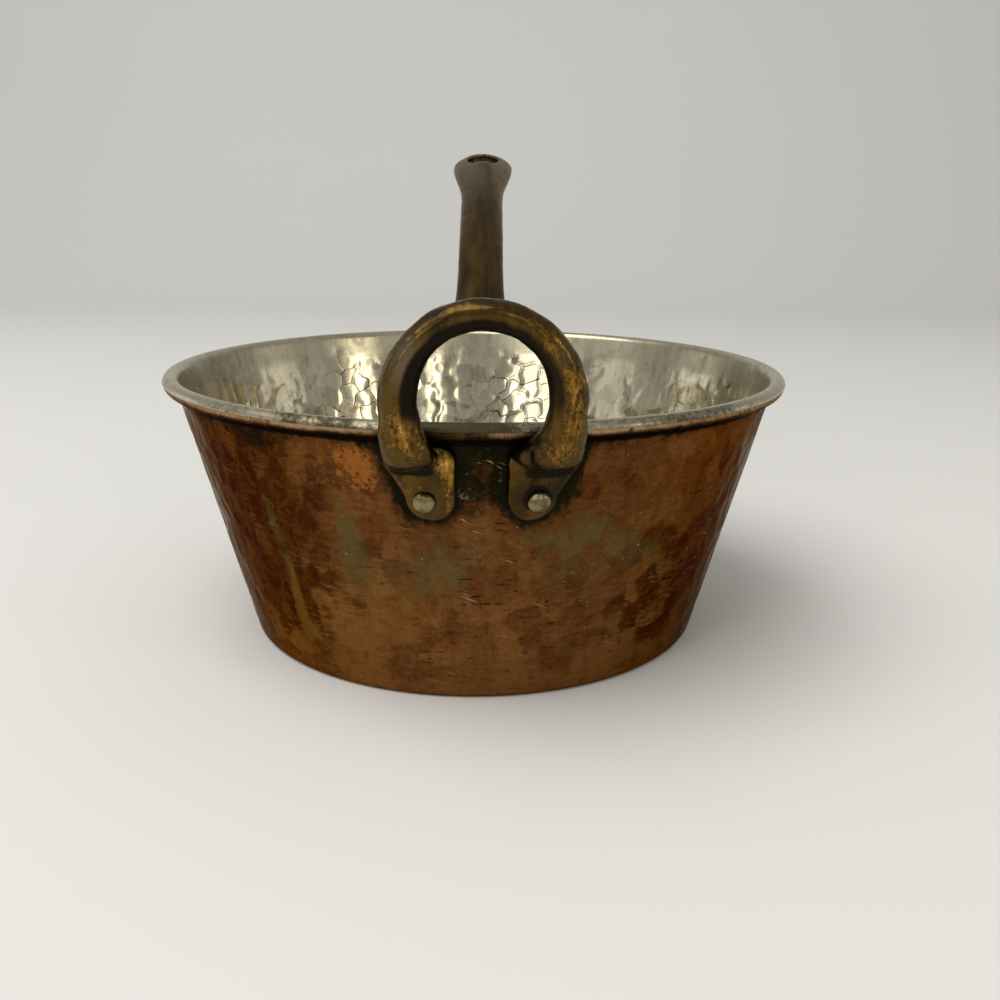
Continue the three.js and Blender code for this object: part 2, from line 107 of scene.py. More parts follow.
CORNER_CENTRE = (BASE_RADIUS - CORNER_INSET, CORNER_RADIUS)
PLATE_TOP = BEAD_CENTRE[1] - BEAD_RADIUS - PLATE_RIM_GAP

# Sizes of the helper loop
LOOP_TURN = math.pi + math.radians(1.8)
LOOP_INSIDE = 37 * MM
LOOP_RISE = 37 * MM
LOOP_LEAN = math.radians(5)
LOOP_RIM_GAP = 1 * MM
LOOP_WIDTH = 11.3 * MM
LOOP_DEPTH = 10 * MM
LOOP_TOP = 9.2 * MM
LOOP_KNEE = 23.3 * MM
LOOP_FOOT = 21 * MM
LOOP_FOOT_WIDTH = 15.5 * MM
LOOP_NECK = 7.4 * MM
LOOP_ELBOW = 9 * MM
LOOP_RIDGE = 0.12
RIDGE_BEARING = math.radians(80)
RIDGE_SPREAD = math.radians(24)
LUG_RIVET = 16.8 * MM
LUG_RIVET_DROP = 17.6 * MM
LUG_INNER = 9.2 * MM
LUG_OUTER = 13 * MM
LUG_OUTER_HEIGHT = 7 * MM
LUG_CORNER = 4 * MM
LUG_BOTTOM = 8.2 * MM
LUG_TOE = 2 * MM
LUG_HEEL = 6.4 * MM
LUG_SHOULDER = 6 * MM
LUG_RIVET_UP = PLATE_TOP - LUG_RIVET_DROP
LUG_MIDDLE = (LUG_RIVET - 0.5 * MM, LUG_RIVET_UP + 3 * MM)
LOOP_HALF_SPAN = (LOOP_INSIDE + LOOP_WIDTH) / 2
LOOP_ARCH = PAN_HEIGHT + LOOP_RISE - LOOP_TOP / 2 - LOOP_HALF_SPAN
LOOP_NECK_UP = PLATE_TOP - LOOP_NECK / 2
RIDGE_FROM = LOOP_NECK_UP + 15 * MM
RIDGE_ENDS = (-16 * MM, 4 * MM)

# The web on the loop's right leg: what pulls its line, and its half width and half depth from end to end
WEB_KNOTS = np.array([(-22.6, 127.5, 107), (-20, 128, 99.5), (-17.6, 125.5, 95.5), (-13.8, 116, 89.8)]) * MM
WEB_WIDTH = (3.6 * MM, 5.6 * MM)
WEB_DEPTH = (3.4 * MM, 3.0 * MM)
WEB_STEPS = 24

# Sizes of the long handle
HANDLE_LENGTH = 228 * MM
HANDLE_RIM_GAP = 0.6 * MM
HANDLE_ROOT_SLOPE = math.radians(41.6)
HANDLE_TIP_SLOPE = math.radians(17.1)
HANDLE_ROOT_WIDTH = 31 * MM
HANDLE_ROOT_BELLY = 8.5 * MM
HANDLE_ROOT_REACH = 80 * MM
HANDLE_INSIDE = 13 * MM
HANDLE_WIDTH = 25.2 * MM
HANDLE_CROWN = 6.5 * MM
HANDLE_BELLY = 4.5 * MM
EYE_DIAMETER = 37.8 * MM
EYE_CROWN = 7.8 * MM
EYE_BELLY = 3.6 * MM
EYE_FLARE = 52 * MM
HANG_HOLE = 9.7 * MM
FLANGE_WIDTH = 56 * MM
FLANGE_TOP = 32 * MM
FLANGE_TONGUE = 9 * MM
FLANGE_RIVET = 20.5 * MM
FLANGE_RIVET_DROP = 11.2 * MM
FLANGE_LOWER_DROP = 41.2 * MM
FLANGE_WAIST_DROP = 32.2 * MM
FLANGE_MIDDLE = (0.0, PLATE_TOP - 16 * MM)
ARCH_RADIUS = HANDLE_LENGTH / (HANDLE_ROOT_SLOPE - HANDLE_TIP_SLOPE)
EYE_CENTRE = HANDLE_LENGTH - EYE_DIAMETER / 2

# The low ramp in front of the hang hole
LIP_GAP = 1 * MM
LIP_RAMP = 15 * MM
LIP_FALL = 2.5 * MM
LIP_WIDTH = 5 * MM
LIP_HEIGHT = 1.5 * MM

# Fineness of the surfaces
BOWL_COLUMNS = 600
LINING_COLUMNS = 660
WALL_RINGS = 84
LINING_RINGS = 84
FLOOR_RINGS = 26
BEAD_RINGS = 22
HIDDEN_RINGS = 6
BAR_SIDES = 48
LEG_STEPS = 25
CROWN_STEPS = 40
SHAFT_SIDES = 64
SHAFT_STEPS = 180
TIP_STEPS = 40
FLANGE_STEPS = 40
PLATE_RAYS = 144
PLATE_RINGS = 12
RIVET_SIDES = 40
RIVET_RINGS = 9
LOOP_GRAIN = 0.45 * MM
HANDLE_GRAIN = 0.7 * MM
LOOP_FILLETS = 24
HANDLE_FILLETS = 10

# Hammer marks: how far their blows scatter and bend, the heights where they fade out outside, the smooth
# band below the rim inside, with the waves of its edge, and the smooth corner of the floor
BLOW_SCATTER = 0.36
BLOW_SPREAD = 0.5
OUTLINE_BEND = 0.13
OUTLINE_SIZE = 1.1
RIDGE_LIMIT = 0.1
MARKS_FOOT = (3 * MM, 9 * MM)
MARKS_TOP = (PLATE_TOP - 4 * MM, PLATE_TOP + 2 * MM)
SMOOTH_BAND = 11 * MM
SMOOTH_WAVE = 3.5 * MM
SMOOTH_WAVE_SIZE = 18 * MM
SMOOTH_CORNER = 6 * MM

# Unevenness of the castings: size, depth and seed of each soft field
LOOP_UNEVEN = ((9 * MM, 0.12 * MM, 31), (3 * MM, 0.03 * MM, 32))
HANDLE_UNEVEN = ((14 * MM, 0.05 * MM, 41),)

# Patches of the copper's marks. Each row is a strength, the azimuth of its middle from the front in degrees,
# its height in mm, and how wide and how tall it is in degrees and mm.
COPPER_PATCHES = {
    "red": (
        (0.6, -38, 60, 15, 45), (0.55, 46, 32, 24, 42), (-0.35, 0, 20, 26, 45), (-0.3, 17, 22, 12, 20),
        (0.5, 62, 50, 20, 70), (-0.25, -45, 12, 9, 16), (-0.4, 60, 24, 12, 30), (0.3, -64, 50, 14, 60),
        (-0.35, 48, 8, 12, 16),
    ),
    "ochre": (
        (0.5, 2, 5, 38, 42), (0.45, -26, 25, 9, 24), (0.4, -48, 12, 9, 18), (0.3, 22, 8, 12, 12),
        (-0.55, 60, 60, 24, 50), (-0.5, -64, 50, 16, 70),
    ),
    "olive": (
        (0.7, -6, 50, 11, 16), (0.6, 26, 52, 18, 15), (0.5, 15, 64, 12, 8), (1.0, -22, 56, 2.8, 18),
        (0.6, -39, 58, 1.8, 18), (0.5, -37.5, 40, 1.5, 14), (0.6, 172, 34, 22, 18),
    ),
    "tan": ((0.75, -38, 28, 2.6, 26), (0.5, -50, 45, 3.5, 40), (0.35, 118, 40, 4, 30)),
    "worn": ((0.72, -17.5, 86, 5, 11), (0.35, -24, 88, 8, 10), (0.45, 150, 84, 9, 10)),
    "brush": (
        (0.55, -26, 28, 10, 20), (0.45, -44, 12, 8, 14), (0.4, 40, 30, 16, 24), (0.4, 140, 30, 18, 24),
    ),
    "grime": (
        (0.68, 1.8, 83, 9, 14), (0.45, 14, 76, 7, 16), (0.4, -12, 80, 4, 16), (0.8, 180, 78, 18, 24),
        (0.5, -38, 90, 8, 4), (0.55, -23, 86, 2, 4),
    ),
    "verdigris": ((0.8, -0.8, 79, 1.6, 10), (0.6, 5.2, 82, 1.3, 9), (0.4, -12.5, 74, 2.5, 8)),
}

# Places along X where the ridges on the far side of the tin are drawn dark, as dirt and as painted shade
# where the lamps' reflections fall: strength, middle and width
LINED_PLACES = ((1.0, 20 * MM, 18 * MM), (1.0, -58 * MM, 15 * MM), (0.45, 92 * MM, 9 * MM))

# Patches of the loop, seen from the front: a strength, and in mm the middle across and up, the width and the
# height. The first ones are rubbed only where the bar faces the front.
LOOP_FRONT_WEAR = (
    (0.62, -23.5, 102, 9, 9), (0.58, 25.5, 106, 4.5, 9), (0.62, 25, 117, 4.5, 5), (0.56, 21.5, 95, 4.5, 6),
    (0.55, 18, 126, 5, 5),
)
LOOP_WEAR = (
    (0.95, -10.8, 88.5, 3.2, 3.6), (0.5, -23, 81, 4, 4), (0.55, -10, 79, 1.6, 9), (0.3, 9, 89, 1.8, 3),
)
# Painted highlight: a grey sheen on the upper arch, left and right, in the same columns.
LOOP_GREY = ((0.6, -22, 122, 9, 14), (0.4, 22, 124, 6, 8))

# Lamps: the place, what they aim at, the width and the height in metres, and the colour. The panels also
# have a share of the panels' power.
OVERHEAD = ((-0.7, -0.5, 1.7), (0, 0, 0.05), 1.6, 1.6, (1.0, 0.98, 0.95))
PANEL_AIM = (0, 0.1, 0.07)
PANEL_HEIGHT = 0.5
PANELS = {
    "panel_left": ((-0.68, -1.24, 0.6), 0.46, 0.8, (1.0, 0.98, 0.9)),
    "panel_right": ((0.55, -1.3, 0.6), 0.16, 0.4, (1.0, 0.95, 0.8)),
    "panel_side": ((1.23, -0.74, 0.6), 0.24, 0.6, (1.0, 0.93, 0.74)),
    "panel_far_right": ((1.4, 0.32, 0.35), 0.5, 0.16, (1.0, 0.97, 0.88)),
    "panel_far_left": ((-1.28, 0.68, 0.28), 0.5, 0.2, (1.0, 0.98, 0.92)),
    "panel_low_left": ((-1.3, -0.5, 0.5), 0.5, 0.14, (1.0, 0.97, 0.9)),
}
WORLD_COLOUR = (1.0, 0.985, 0.96, 1.0)
SENSOR_WIDTH = 36


def wall_radius(height, offset=0.0):
    """Radius of the wall's outside at a height, moved outwards by an offset."""
    return BASE_RADIUS + height * math.tan(WALL_SLOPE) + offset / math.cos(WALL_SLOPE)


def on_wall(across, height, offset):
    """How far from the axis a bent plate lies, square to its across: the root of the wall's radius squared
    less the across squared."""
    return np.sqrt(wall_radius(height, offset) ** 2 - across ** 2)


def linear(red, green, blue):
    """A colour as it is picked on a screen, from 0 to 255, as linear light."""
    share = np.array([red, green, blue]) / 255
    light = np.where(share <= 0.04045, share / 12.92, ((share + 0.055) / 1.055) ** 2.4)
    return tuple(float(value) for value in light)


def length_property(name, description, default):
    """A length that a user may change."""
    return FloatProperty(name=name, description=description, default=default, unit="LENGTH", precision=5)


def colour_property(name, description, red, green, blue):
    """A colour that a user may change."""
    return FloatVectorProperty(
        name=name, description=description, default=linear(red, green, blue),
        subtype="COLOR", size=3, min=0.0, max=1.0,
    )


def angle_property(name, description, degrees):
    """An angle that a user may change."""
    return FloatProperty(name=name, description=description, default=math.radians(degrees), subtype="ANGLE")


class HammerSettings(bpy.types.PropertyGroup):
    """How the copper and the tin are hammered"""

    size_outside: length_property("Outside size", "Distance from blow to blow outside", 8 * MM)
    size_inside: length_property("Inside size", "Distance from blow to blow on the inner wall", 8.6 * MM)
    size_floor: length_property("Floor size", "Distance from blow to blow on the inner floor", 14 * MM)
    outside: length_property("Outside depth", "Depth of the marks outside", 0.24 * MM)
    inside: length_property("Inside depth", "Depth of the marks inside", 0.11 * MM)
    seed: IntProperty(name="Seed", description="Start of the scatter of the blows", default=7)


class CopperColours(bpy.types.PropertyGroup):
    """Colours of the aged copper"""

    brown: colour_property("Brown", "Main brown of the aged copper", 96, 56, 25)
    red: colour_property("Red", "Deep red-brown at the sides", 64, 30, 10)
    ochre: colour_property("Ochre", "Golden brown in the middle and at the foot", 132, 88, 46)
    worn: colour_property("Worn", "Orange where the patina is rubbed off", 150, 90, 40)
    tan: colour_property("Tan", "Pale streaks", 112, 82, 36)
    olive: colour_property("Olive", "Grey-green film below the lugs", 92, 80, 46)
    # Grime also serves as painted shade under the bead and on the bead's underside.
    grime: colour_property("Grime", "Green-black dirt round the plates and under the rim", 28, 25, 11)
    # Painted shadow: the black line under the bead stands in for the bead's shade on the wall.
    crease: colour_property("Crease", "Black line where the bead meets the wall", 11, 7, 3)
    verdigris: colour_property("Verdigris", "Pale green specks beside the lugs", 104, 112, 86)
    # The bead colour is also a painted highlight along the upper front of the bead.
    bead: colour_property("Bead", "Pinkish wear on the front of the bead", 168, 138, 106)


class TinColours(bpy.types.PropertyGroup):
    """Colours of the tin"""

    bright: colour_property("Bright", "Clean tin", 200, 192, 168)
    dull: colour_property("Dull", "Clouded tin", 146, 138, 116)
    edge: colour_property("Edge", "Grey-beige tin on the bead", 186, 178, 154)
    # The olive is partly a film and partly a painted dark reflection on the front of the bead, and painted
    # shade behind the loop.
    olive: colour_property("Olive", "Dark film on the front of the bead", 66, 60, 38)
    # The stain also draws the ridges dark as painted shade where the lamps' reflections fall.
    stain: colour_property("Stain", "Dirt along the ridges", 78, 70, 54)


class BrassColours(bpy.types.PropertyGroup):
    """Colours of the cast brass and its rivets"""

    dark: colour_property("Dark", "Olive-brown patina", 88, 66, 26)
    deep: colour_property("Deep", "Darkest patina", 48, 35, 12)
    worn: colour_property("Worn", "Gold where hands have rubbed it", 142, 102, 38)
    polished: colour_property("Polished", "Bright gold in the middle of the rubbed places", 206, 168, 88)
    # The grey is also a painted highlight, a sheen on the loop's upper arch.
    grey: colour_property("Grey", "Grey-brown film on the handles", 118, 104, 82)
    # The crevice colour is also painted shade under the loop's feet and along the inner side of its arch.
    crevice: colour_property("Crevice", "Brown-black dirt in the corners", 26, 18, 6)
    rivet: colour_property("Rivet", "Pale brass of the rivets", 136, 128, 92)


class StageSettings(bpy.types.PropertyGroup):
    """Floor, light and camera"""

    floor: colour_property("Floor", "Pale floor and backdrop", 226, 226, 223)
    world: FloatProperty(name="World", description="Strength of the plain surroundings", default=0.45)
    key: FloatProperty(name="Key", description="Watts of the large lamp overhead", default=26.0)
    panel: FloatProperty(name="Panels", description="Watts that the panels' shares count from", default=2.3)
    lens: FloatProperty(name="Lens", description="Focal length for a 36 mm wide frame", default=37.267)
    place: FloatVectorProperty(
        name="Camera", description="Place of the camera", default=(0.00605, -0.41288, 0.1629),
        subtype="XYZ", unit="LENGTH", precision=5,
    )
    pitch: angle_property("Pitch", "How far the camera looks down", 15.888)
    heading: angle_property("Heading", "Turn of the camera towards the right", 0.57)
    roll: angle_property("Roll", "Roll of the camera", 0.525)


def unit(vectors):
    """Vectors divided by their lengths."""
    return vectors / np.linalg.norm(vectors, axis=-1, keepdims=True)


def ease(values, start, end):
    """Smooth step from 0 at the start to 1 at the end."""
    share = np.clip((values - start) / (end - start), 0, 1)
    return share * share * (3 - 2 * share)


def mix(first, second, share):
    """The first value plus a share of the way to the second."""
    return first + (second - first) * share


def bell(distance, width):
    """Bell curve: e to the power of minus the square of the distance over the width."""
    return np.exp(-(distance / width) ** 2)


def curve(knots, steps):
    """Points of a curve from its first knot to its last, drawn towards the others: each knot counts by its
    term of (1 - s + s) to the power of the curve's degree, where s runs from 0 to 1."""
    share = np.linspace(0, 1, steps)[:, None]
    degree = len(knots) - 1
    power = np.arange(degree + 1)
    choices = np.array([math.comb(degree, term) for term in power])
    return (choices * (1 - share) ** (degree - power) * share ** power) @ np.array(knots)


def turned(points, angle):
    """Points turned round the upright axis."""
    cosine, sine = math.cos(angle), math.sin(angle)
    x, y, z = np.moveaxis(points, -1, 0)
    return np.stack([x * cosine - y * sine, x * sine + y * cosine, z], axis=-1)


def arc(centre, radius, start, end, steps):
    """Points of an arc in a profile of radius and height."""
    angle = np.linspace(start, end, steps + 1)
    return np.stack([centre[0] + radius * np.cos(angle), centre[1] + radius * np.sin(angle)], axis=-1)


def straight(start, end, steps):
    """Points of a line in a profile, without its ends."""
    share = np.arange(1, steps)[:, None] / steps
    return mix(np.array(start), np.array(end), share)


def ripple(points, size, seed, waves=28):
    """A soft random field of about -1 to 1: plane waves of about one size, with random headings, summed."""
    generator = np.random.default_rng(seed)
    heading = unit(generator.normal(size=(waves, points.shape[-1])))
    heading *= 2 * np.pi / size * generator.uniform(0.6, 1.6, (waves, 1))
    phase = generator.uniform(0, 2 * np.pi, waves)
    return np.sin(points @ heading.T + phase).sum(axis=-1) / math.sqrt(waves)


def blows(along, radius, size, seed):
    """Hammer blows in staggered rows: row k lies k sizes along the profile and takes as many blows as fit
    round the pan there. Returns each row's count, and each blow's turn, place along and strength."""
    generator = np.random.default_rng(seed)
    row = np.arange(int(along[-1] / size) + 2)
    count = np.maximum(np.rint(2 * np.pi * np.interp(row * size, along, radius) / size), 1).astype(int)
    shape = (len(row), count.max())
    shift = generator.uniform(-BLOW_SCATTER, BLOW_SCATTER, shape)
    turn = (np.arange(shape[1]) + shift + row[:, None] % 2 / 2) / count[:, None]
    place = (row[:, None] + generator.uniform(-BLOW_SCATTER, BLOW_SCATTER, shape)) * size
    return count, turn, place, generator.uniform(0, 1, shape)


def bowl_height(turn, along, radius, blow, size):
    """Height of the shallow bowl that a blow leaves: about -1 in its middle, and growing with the square of
    the distance from it. A blow is its turn, its place along and its strength."""
    gap = turn - blow[0]
    gap = (gap - np.rint(gap)) * 2 * np.pi * radius
    return 4 * (gap ** 2 + (along - blow[1]) ** 2) / size ** 2 - 1 + BLOW_SPREAD * (blow[2] - 0.5)


def lowest_bowls(turn, along, radius, struck, size):
    """The blow whose bowl is lowest at each place, and the one whose bowl is the next lowest there."""
    count = struck[0]
    scattered = np.stack(struck[1:])
    home = np.rint(along / size).astype(int)
    lowest = np.full(turn.shape, np.inf)
    second = np.full(turn.shape, np.inf)
    blow_here = np.zeros((3, *turn.shape))
    blow_beyond = np.zeros((3, *turn.shape))
    for step in (-1, 0, 1):
        row = np.clip(home + step, 0, len(count) - 1)
        nearest = np.rint(turn * count[row] - row % 2 / 2).astype(int)
        for beside in (-1, 0, 1):
            blow = scattered[:, row, (nearest + beside) % count[row]]
            height = bowl_height(turn, along, radius, blow, size)
            under = height < lowest
            between = (height > lowest) & (height < second)
            blow_beyond = np.where(under, blow_here, np.where(between, blow, blow_beyond))
            second = np.where(under, lowest, np.where(between, height, second))
            blow_here = np.where(under, blow, blow_here)
            lowest = np.where(under, height, lowest)
    return blow_here, blow_beyond


def corners_of(grid):
    """The four corners of every face between a grid's rings, in the order that ring_faces counts them."""
    after = np.roll(grid, -1, axis=1)
    return np.stack([grid[:-1], after[:-1], after[1:], grid[1:]], axis=-1)


def beaten(profile, rings, turn, size, seed):
    """Hammer marks on some rings of a turned profile. Where bowls meet, the lower one holds. Gives the relief
    of every point, from -1 in the middle of a mark to 0 and more on the ridges. For the corners of every face
    it gives the climb to the next bowl, which passes through 0 on a ridge and is even across a face, and the
    strength of the mark and of the one beyond the ridge. A soft random field bends the outlines."""
    chosen = profile[rings]
    along = np.concatenate([[0], np.cumsum(np.linalg.norm(np.diff(chosen, axis=0), axis=1))])
    struck = blows(along, chosen[:, 0], size, seed)
    angle = 2 * np.pi * turn
    radius = chosen[:, :1] + 0 * angle
    place = np.stack([radius * np.cos(angle), radius * np.sin(angle), along[:, None] + 0 * angle], axis=-1)
    bend = OUTLINE_BEND * size
    aside = bend * ripple(place, OUTLINE_SIZE * size, seed + 20)
    aside = turn + aside / (2 * np.pi * np.maximum(radius, size))
    down = along[:, None] + bend * ripple(place, OUTLINE_SIZE * size, seed + 21)
    relief = np.zeros((len(profile), turn.shape[1]))
    lowest = lowest_bowls(aside, down, radius, struck, size)[0]
    relief[rings] = bowl_height(aside, down, radius, lowest, size)
    corner_turn = corners_of(aside)
    corner_turn = corner_turn + np.rint(corner_turn[..., :1] - corner_turn)
    corner = (corner_turn, corners_of(down), corners_of(radius))
    here, beyond = lowest_bowls(*(values.mean(axis=-1) for values in corner), struck, size)
    here, beyond = here[..., None], beyond[..., None]
    inside = rings[:-1] & rings[1:]
    shape = (len(profile) - 1, turn.shape[1], 4)
    climb, tone, tone_beyond = np.ones(shape), np.full(shape, 0.5), np.full(shape, 0.5)
    climb[inside] = bowl_height(*corner, beyond, size) - bowl_height(*corner, here, size)
    tone[inside] = here[2]
    tone_beyond[inside] = beyond[2]
    return relief, climb, tone, tone_beyond


def unrolled(points, radius):
    """Points pushed out to an upright cylinder, so that a pattern runs straight down a sloping wall. Points
    near the axis keep their bearing and their share of the radius."""
    out = np.hypot(points[:, 0], points[:, 1])
    scale = radius / np.maximum(out, BASE_RADIUS - 4 * MM)
    return points * np.stack([scale, scale, np.ones(len(points))], axis=-1)


def ring_faces(rings, columns):
    """Faces of a closed skin: quads between rings whose columns close on themselves, and then a fan at each
    end to a pole. Point 0 is the first pole, then come the rings, and last the other pole."""
    ring = np.arange(rings - 1)[:, None] * columns + 1
    column = np.arange(columns)
    after = (column + 1) % columns
    quads = np.stack([ring + column, ring + after, ring + columns + after, ring + columns + column], axis=-1)
    last = (rings - 1) * columns + 1
    first_fan = np.stack([np.zeros(columns, int), after + 1, column + 1], axis=-1)
    last_fan = np.stack([np.full(columns, last + columns), last + column, last + after], axis=-1)
    return [quads.reshape(-1, 4), first_fan, last_fan]


def ring_points(first, grid, last):
    """Points in the order that ring_faces counts them."""
    return np.concatenate([np.reshape(first, (1, 3)), grid.reshape(-1, 3), np.reshape(last, (1, 3))])


def revolved(profile, turn, relief):
    """A profile of radius and height turned round the upright axis, each point moved along the profile's
    outward normal by the relief. Columns run with the turn, from 0 to 1."""
    slope = unit(np.gradient(profile, axis=0))
    radius = profile[:, :1] + slope[:, 1:] * relief
    height = profile[:, 1:] - slope[:, :1] * relief
    angle = 2 * np.pi * turn
    return np.stack([radius * np.cos(angle), radius * np.sin(angle), height], axis=-1)


def new_mesh(name, points, faces):
    """A mesh of points and of arrays of faces, each array with as many corners as its faces have."""
    mesh = bpy.data.meshes.new(name)
    mesh.from_pydata(points.tolist(), [], sum((part.tolist() for part in faces), []))
    mesh.validate()
    return mesh


def add_piece(name, mesh, material, slot, *nodes):
    """A finished piece: smooth, at the origin, riding on the body and standing for its CAD nodes."""
    mesh.polygons.foreach_set("use_smooth", np.ones(len(mesh.polygons), bool))
    mesh.materials.clear()
    mesh.materials.append(material)
    mesh.update()
    piece = bpy.data.objects.new(name, mesh)
    bpy.context.scene.collection.objects.link(piece)
    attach(piece, BODY)
    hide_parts(*nodes)
    return piece


def paint(mesh, **marks):
    """Stores one number per point under each name, for the material to read."""
    for name, values in marks.items():
        layer = mesh.attributes.new(name, "FLOAT", "POINT")
        layer.data.foreach_set("value", np.ascontiguousarray(values, np.float32))


def paint_vectors(mesh, name, vectors):
    """Stores one vector per point, for the material to read."""
    layer = mesh.attributes.new(name, "FLOAT_VECTOR", "POINT")
    layer.data.foreach_set("vector", np.ascontiguousarray(vectors, np.float32).ravel())


def paint_marks(mesh, fade, climb, tone, tone_beyond):
    """Stores the hammer marks at the faces' corners, faded out where the fade, given for the rings, falls to
    0. The fans at the poles come last and get none."""
    fade = (fade + np.zeros(climb.shape[1]))[:-1, :, None]
    layers = {"climb": (climb, 1.0), "tone": (tone, 0.5), "tone_beyond": (tone_beyond, 0.5)}
    for name, (values, plain) in layers.items():
        values = (plain + (values - plain) * fade).ravel()
        rest = np.full(len(mesh.loops) - len(values), plain)
        layer = mesh.attributes.new(name, "FLOAT", "CORNER")
        layer.data.foreach_set("value", np.concatenate([values, rest]).astype(np.float32))


def places(mesh):
    """The places of a mesh's points."""
    values = np.empty(len(mesh.vertices) * 3, np.float32)
    mesh.vertices.foreach_get("co", values)
    return values.reshape(-1, 3).astype(float)


def move_to(mesh, points):
    """Moves a mesh's points to new places."""
    mesh.vertices.foreach_set("co", points.astype(np.float32).ravel())
    mesh.update()


def roughen(mesh, size, depth, seed):
    """Moves every point along its normal by a soft random field, as a casting is never quite even."""
    points = places(mesh)
    normals = np.empty(len(mesh.vertices) * 3, np.float32)
    mesh.vertex_normals.foreach_get("vector", normals)
    move_to(mesh, points + normals.reshape(-1, 3) * (depth * ripple(points, size, seed))[:, None])


class Look:
    """A material in the making: short calls that add nodes to its tree."""

    def __init__(self, name, metallic, roughness, film=0.0, glance=(1.0, 1.0, 1.0)):
        self.material = bpy.data.materials.new(name)
        self.material.use_nodes = True
        self.tree = self.material.node_tree
        self.shader = self.tree.nodes["Principled BSDF"]
        self.shader.inputs["Metallic"].default_value = metallic
        self.shader.inputs["Roughness"].default_value = roughness
        self.shader.inputs["Specular Tint"].default_value = (*glance, 1.0)
        self.shader.inputs["Coat Weight"].default_value = film
        self.shader.inputs["Coat Roughness"].default_value = FILM_ROUGHNESS
        self.place = self.add("ShaderNodeTexCoord").outputs["Object"]

    def add(self, kind, **settings):
        """Adds a node and sets its options."""
        node = self.tree.nodes.new(kind)
        for name, value in settings.items():
            setattr(node, name, value)
        return node

    def feed(self, socket, value):
        """Links an output to a socket, or sets the socket to a plain number or colour."""
        if isinstance(value, bpy.types.NodeSocket):
            self.tree.links.new(value, socket)
        elif socket.type == "RGBA":
            socket.default_value = (*value, 1.0)
        else:
            socket.default_value = value

    def attribute(self, name):
        """A number that the piece's mesh stores."""
        return self.add("ShaderNodeAttribute", attribute_name=name).outputs["Fac"]

    def vector(self, name):
        """A vector that the piece's mesh stores."""
        return self.add("ShaderNodeAttribute", attribute_name=name).outputs["Vector"]

    def struck(self, soft):
        """The tone of the hammer mark at each place, which passes over to the next one within a soft stretch
        of the climb, and the size of the climb, which is 0 on a ridge."""
        climb = self.attribute("climb")
        beyond = self.attribute("tone_beyond")
        node = self.add("ShaderNodeMath", operation="MULTIPLY_ADD")
        self.feed(node.inputs[0], self.math("SUBTRACT", self.attribute("tone"), beyond))
        self.feed(node.inputs[1], self.fade(climb, -soft, soft))
        self.feed(node.inputs[2], beyond)
        return node.outputs["Value"], self.math("ABSOLUTE", climb, 0.0)

    def stretched(self, stretch, place):
        """Coordinates in which a pattern is that many times longer along each axis."""
        node = self.add("ShaderNodeMapping")
        self.feed(node.inputs["Vector"], place)
        node.inputs["Scale"].default_value = [1 / value for value in stretch]
        return node.outputs["Vector"]

    def noise(self, size, detail=3.0, roughness=0.55, distortion=0.0, place=None, stretch=None):
        """Cloudy noise from 0 to 1, with patches of about that size, made longer along the axes by a
        stretch."""
        node = self.add("ShaderNodeTexNoise")
        place = place or self.place
        self.feed(node.inputs["Vector"], self.stretched(stretch, place) if stretch else place)
        node.inputs["Scale"].default_value = 1 / size
        node.inputs["Detail"].default_value = detail
        node.inputs["Roughness"].default_value = roughness
        node.inputs["Distortion"].default_value = distortion
        return node.outputs["Fac"]

    def tilted(self, degrees):
        """Coordinates turned in the plane of the front."""
        node = self.add("ShaderNodeMapping")
        self.feed(node.inputs["Vector"], self.place)
        node.inputs["Rotation"].default_value = (0.0, math.radians(degrees), 0.0)
        return node.outputs["Vector"]

    def specks(self, size, largest, ragged):
        """Distance outside scattered spots that lie about that far apart, as a share of it. Most spots are
        small, a few come near the largest, and noise makes them ragged."""
        node = self.add("ShaderNodeTexVoronoi")
        self.feed(node.inputs["Vector"], self.place)
        node.inputs["Scale"].default_value = 1 / size
        chance = self.add("ShaderNodeSeparateColor")
        self.feed(chance.inputs["Color"], node.outputs["Color"])
        spot_size = self.math("POWER", chance.outputs["Red"], 4.0)
        spot_size = self.math("MULTIPLY", spot_size, largest)
        outside = self.math("SUBTRACT", node.outputs["Distance"], spot_size)
        return self.weighted(outside, (ragged, largest))

    def fade(self, value, start, end, low=0.0, high=1.0):
        """Smooth step from low at the start to high at the end."""
        node = self.add("ShaderNodeMapRange", interpolation_type="SMOOTHSTEP")
        self.feed(node.inputs["Value"], value)
        self.feed(node.inputs["From Min"], start)
        self.feed(node.inputs["From Max"], end)
        self.feed(node.inputs["To Min"], low)
        self.feed(node.inputs["To Max"], high)
        return node.outputs["Result"]

    def math(self, operation, first, second):
        """The result of one operation on two values."""
        node = self.add("ShaderNodeMath", operation=operation)
        self.feed(node.inputs[0], first)
        self.feed(node.inputs[1], second)
        return node.outputs["Value"]

    def weighted(self, base, *terms):
        """A value plus each term's distance from one half, times the term's weight."""
        for value, weight in terms:
            node = self.add("ShaderNodeMath", operation="MULTIPLY_ADD")
            self.feed(node.inputs[0], self.math("SUBTRACT", value, 0.5))
            node.inputs[1].default_value = weight
            self.feed(node.inputs[2], base)
            base = node.outputs["Value"]
        return base

    def blend(self, share, first, second):
        """Two colours mixed by a share. A Mix node's colours are its inputs 6 and 7 and its output 2."""
        node = self.add("ShaderNodeMix", data_type="RGBA")
        self.feed(node.inputs[0], share)
        self.feed(node.inputs[6], first)
        self.feed(node.inputs[7], second)
        return node.outputs[2]

    def both(self, first, second):
        """Where both hold: the two shares multiplied."""
        return self.math("MULTIPLY", first, second)

    def lay(self, under, over, value, *step):
        """Lays one colour over another by a smooth step of a value."""
        return self.blend(self.fade(value, *step), under, over)

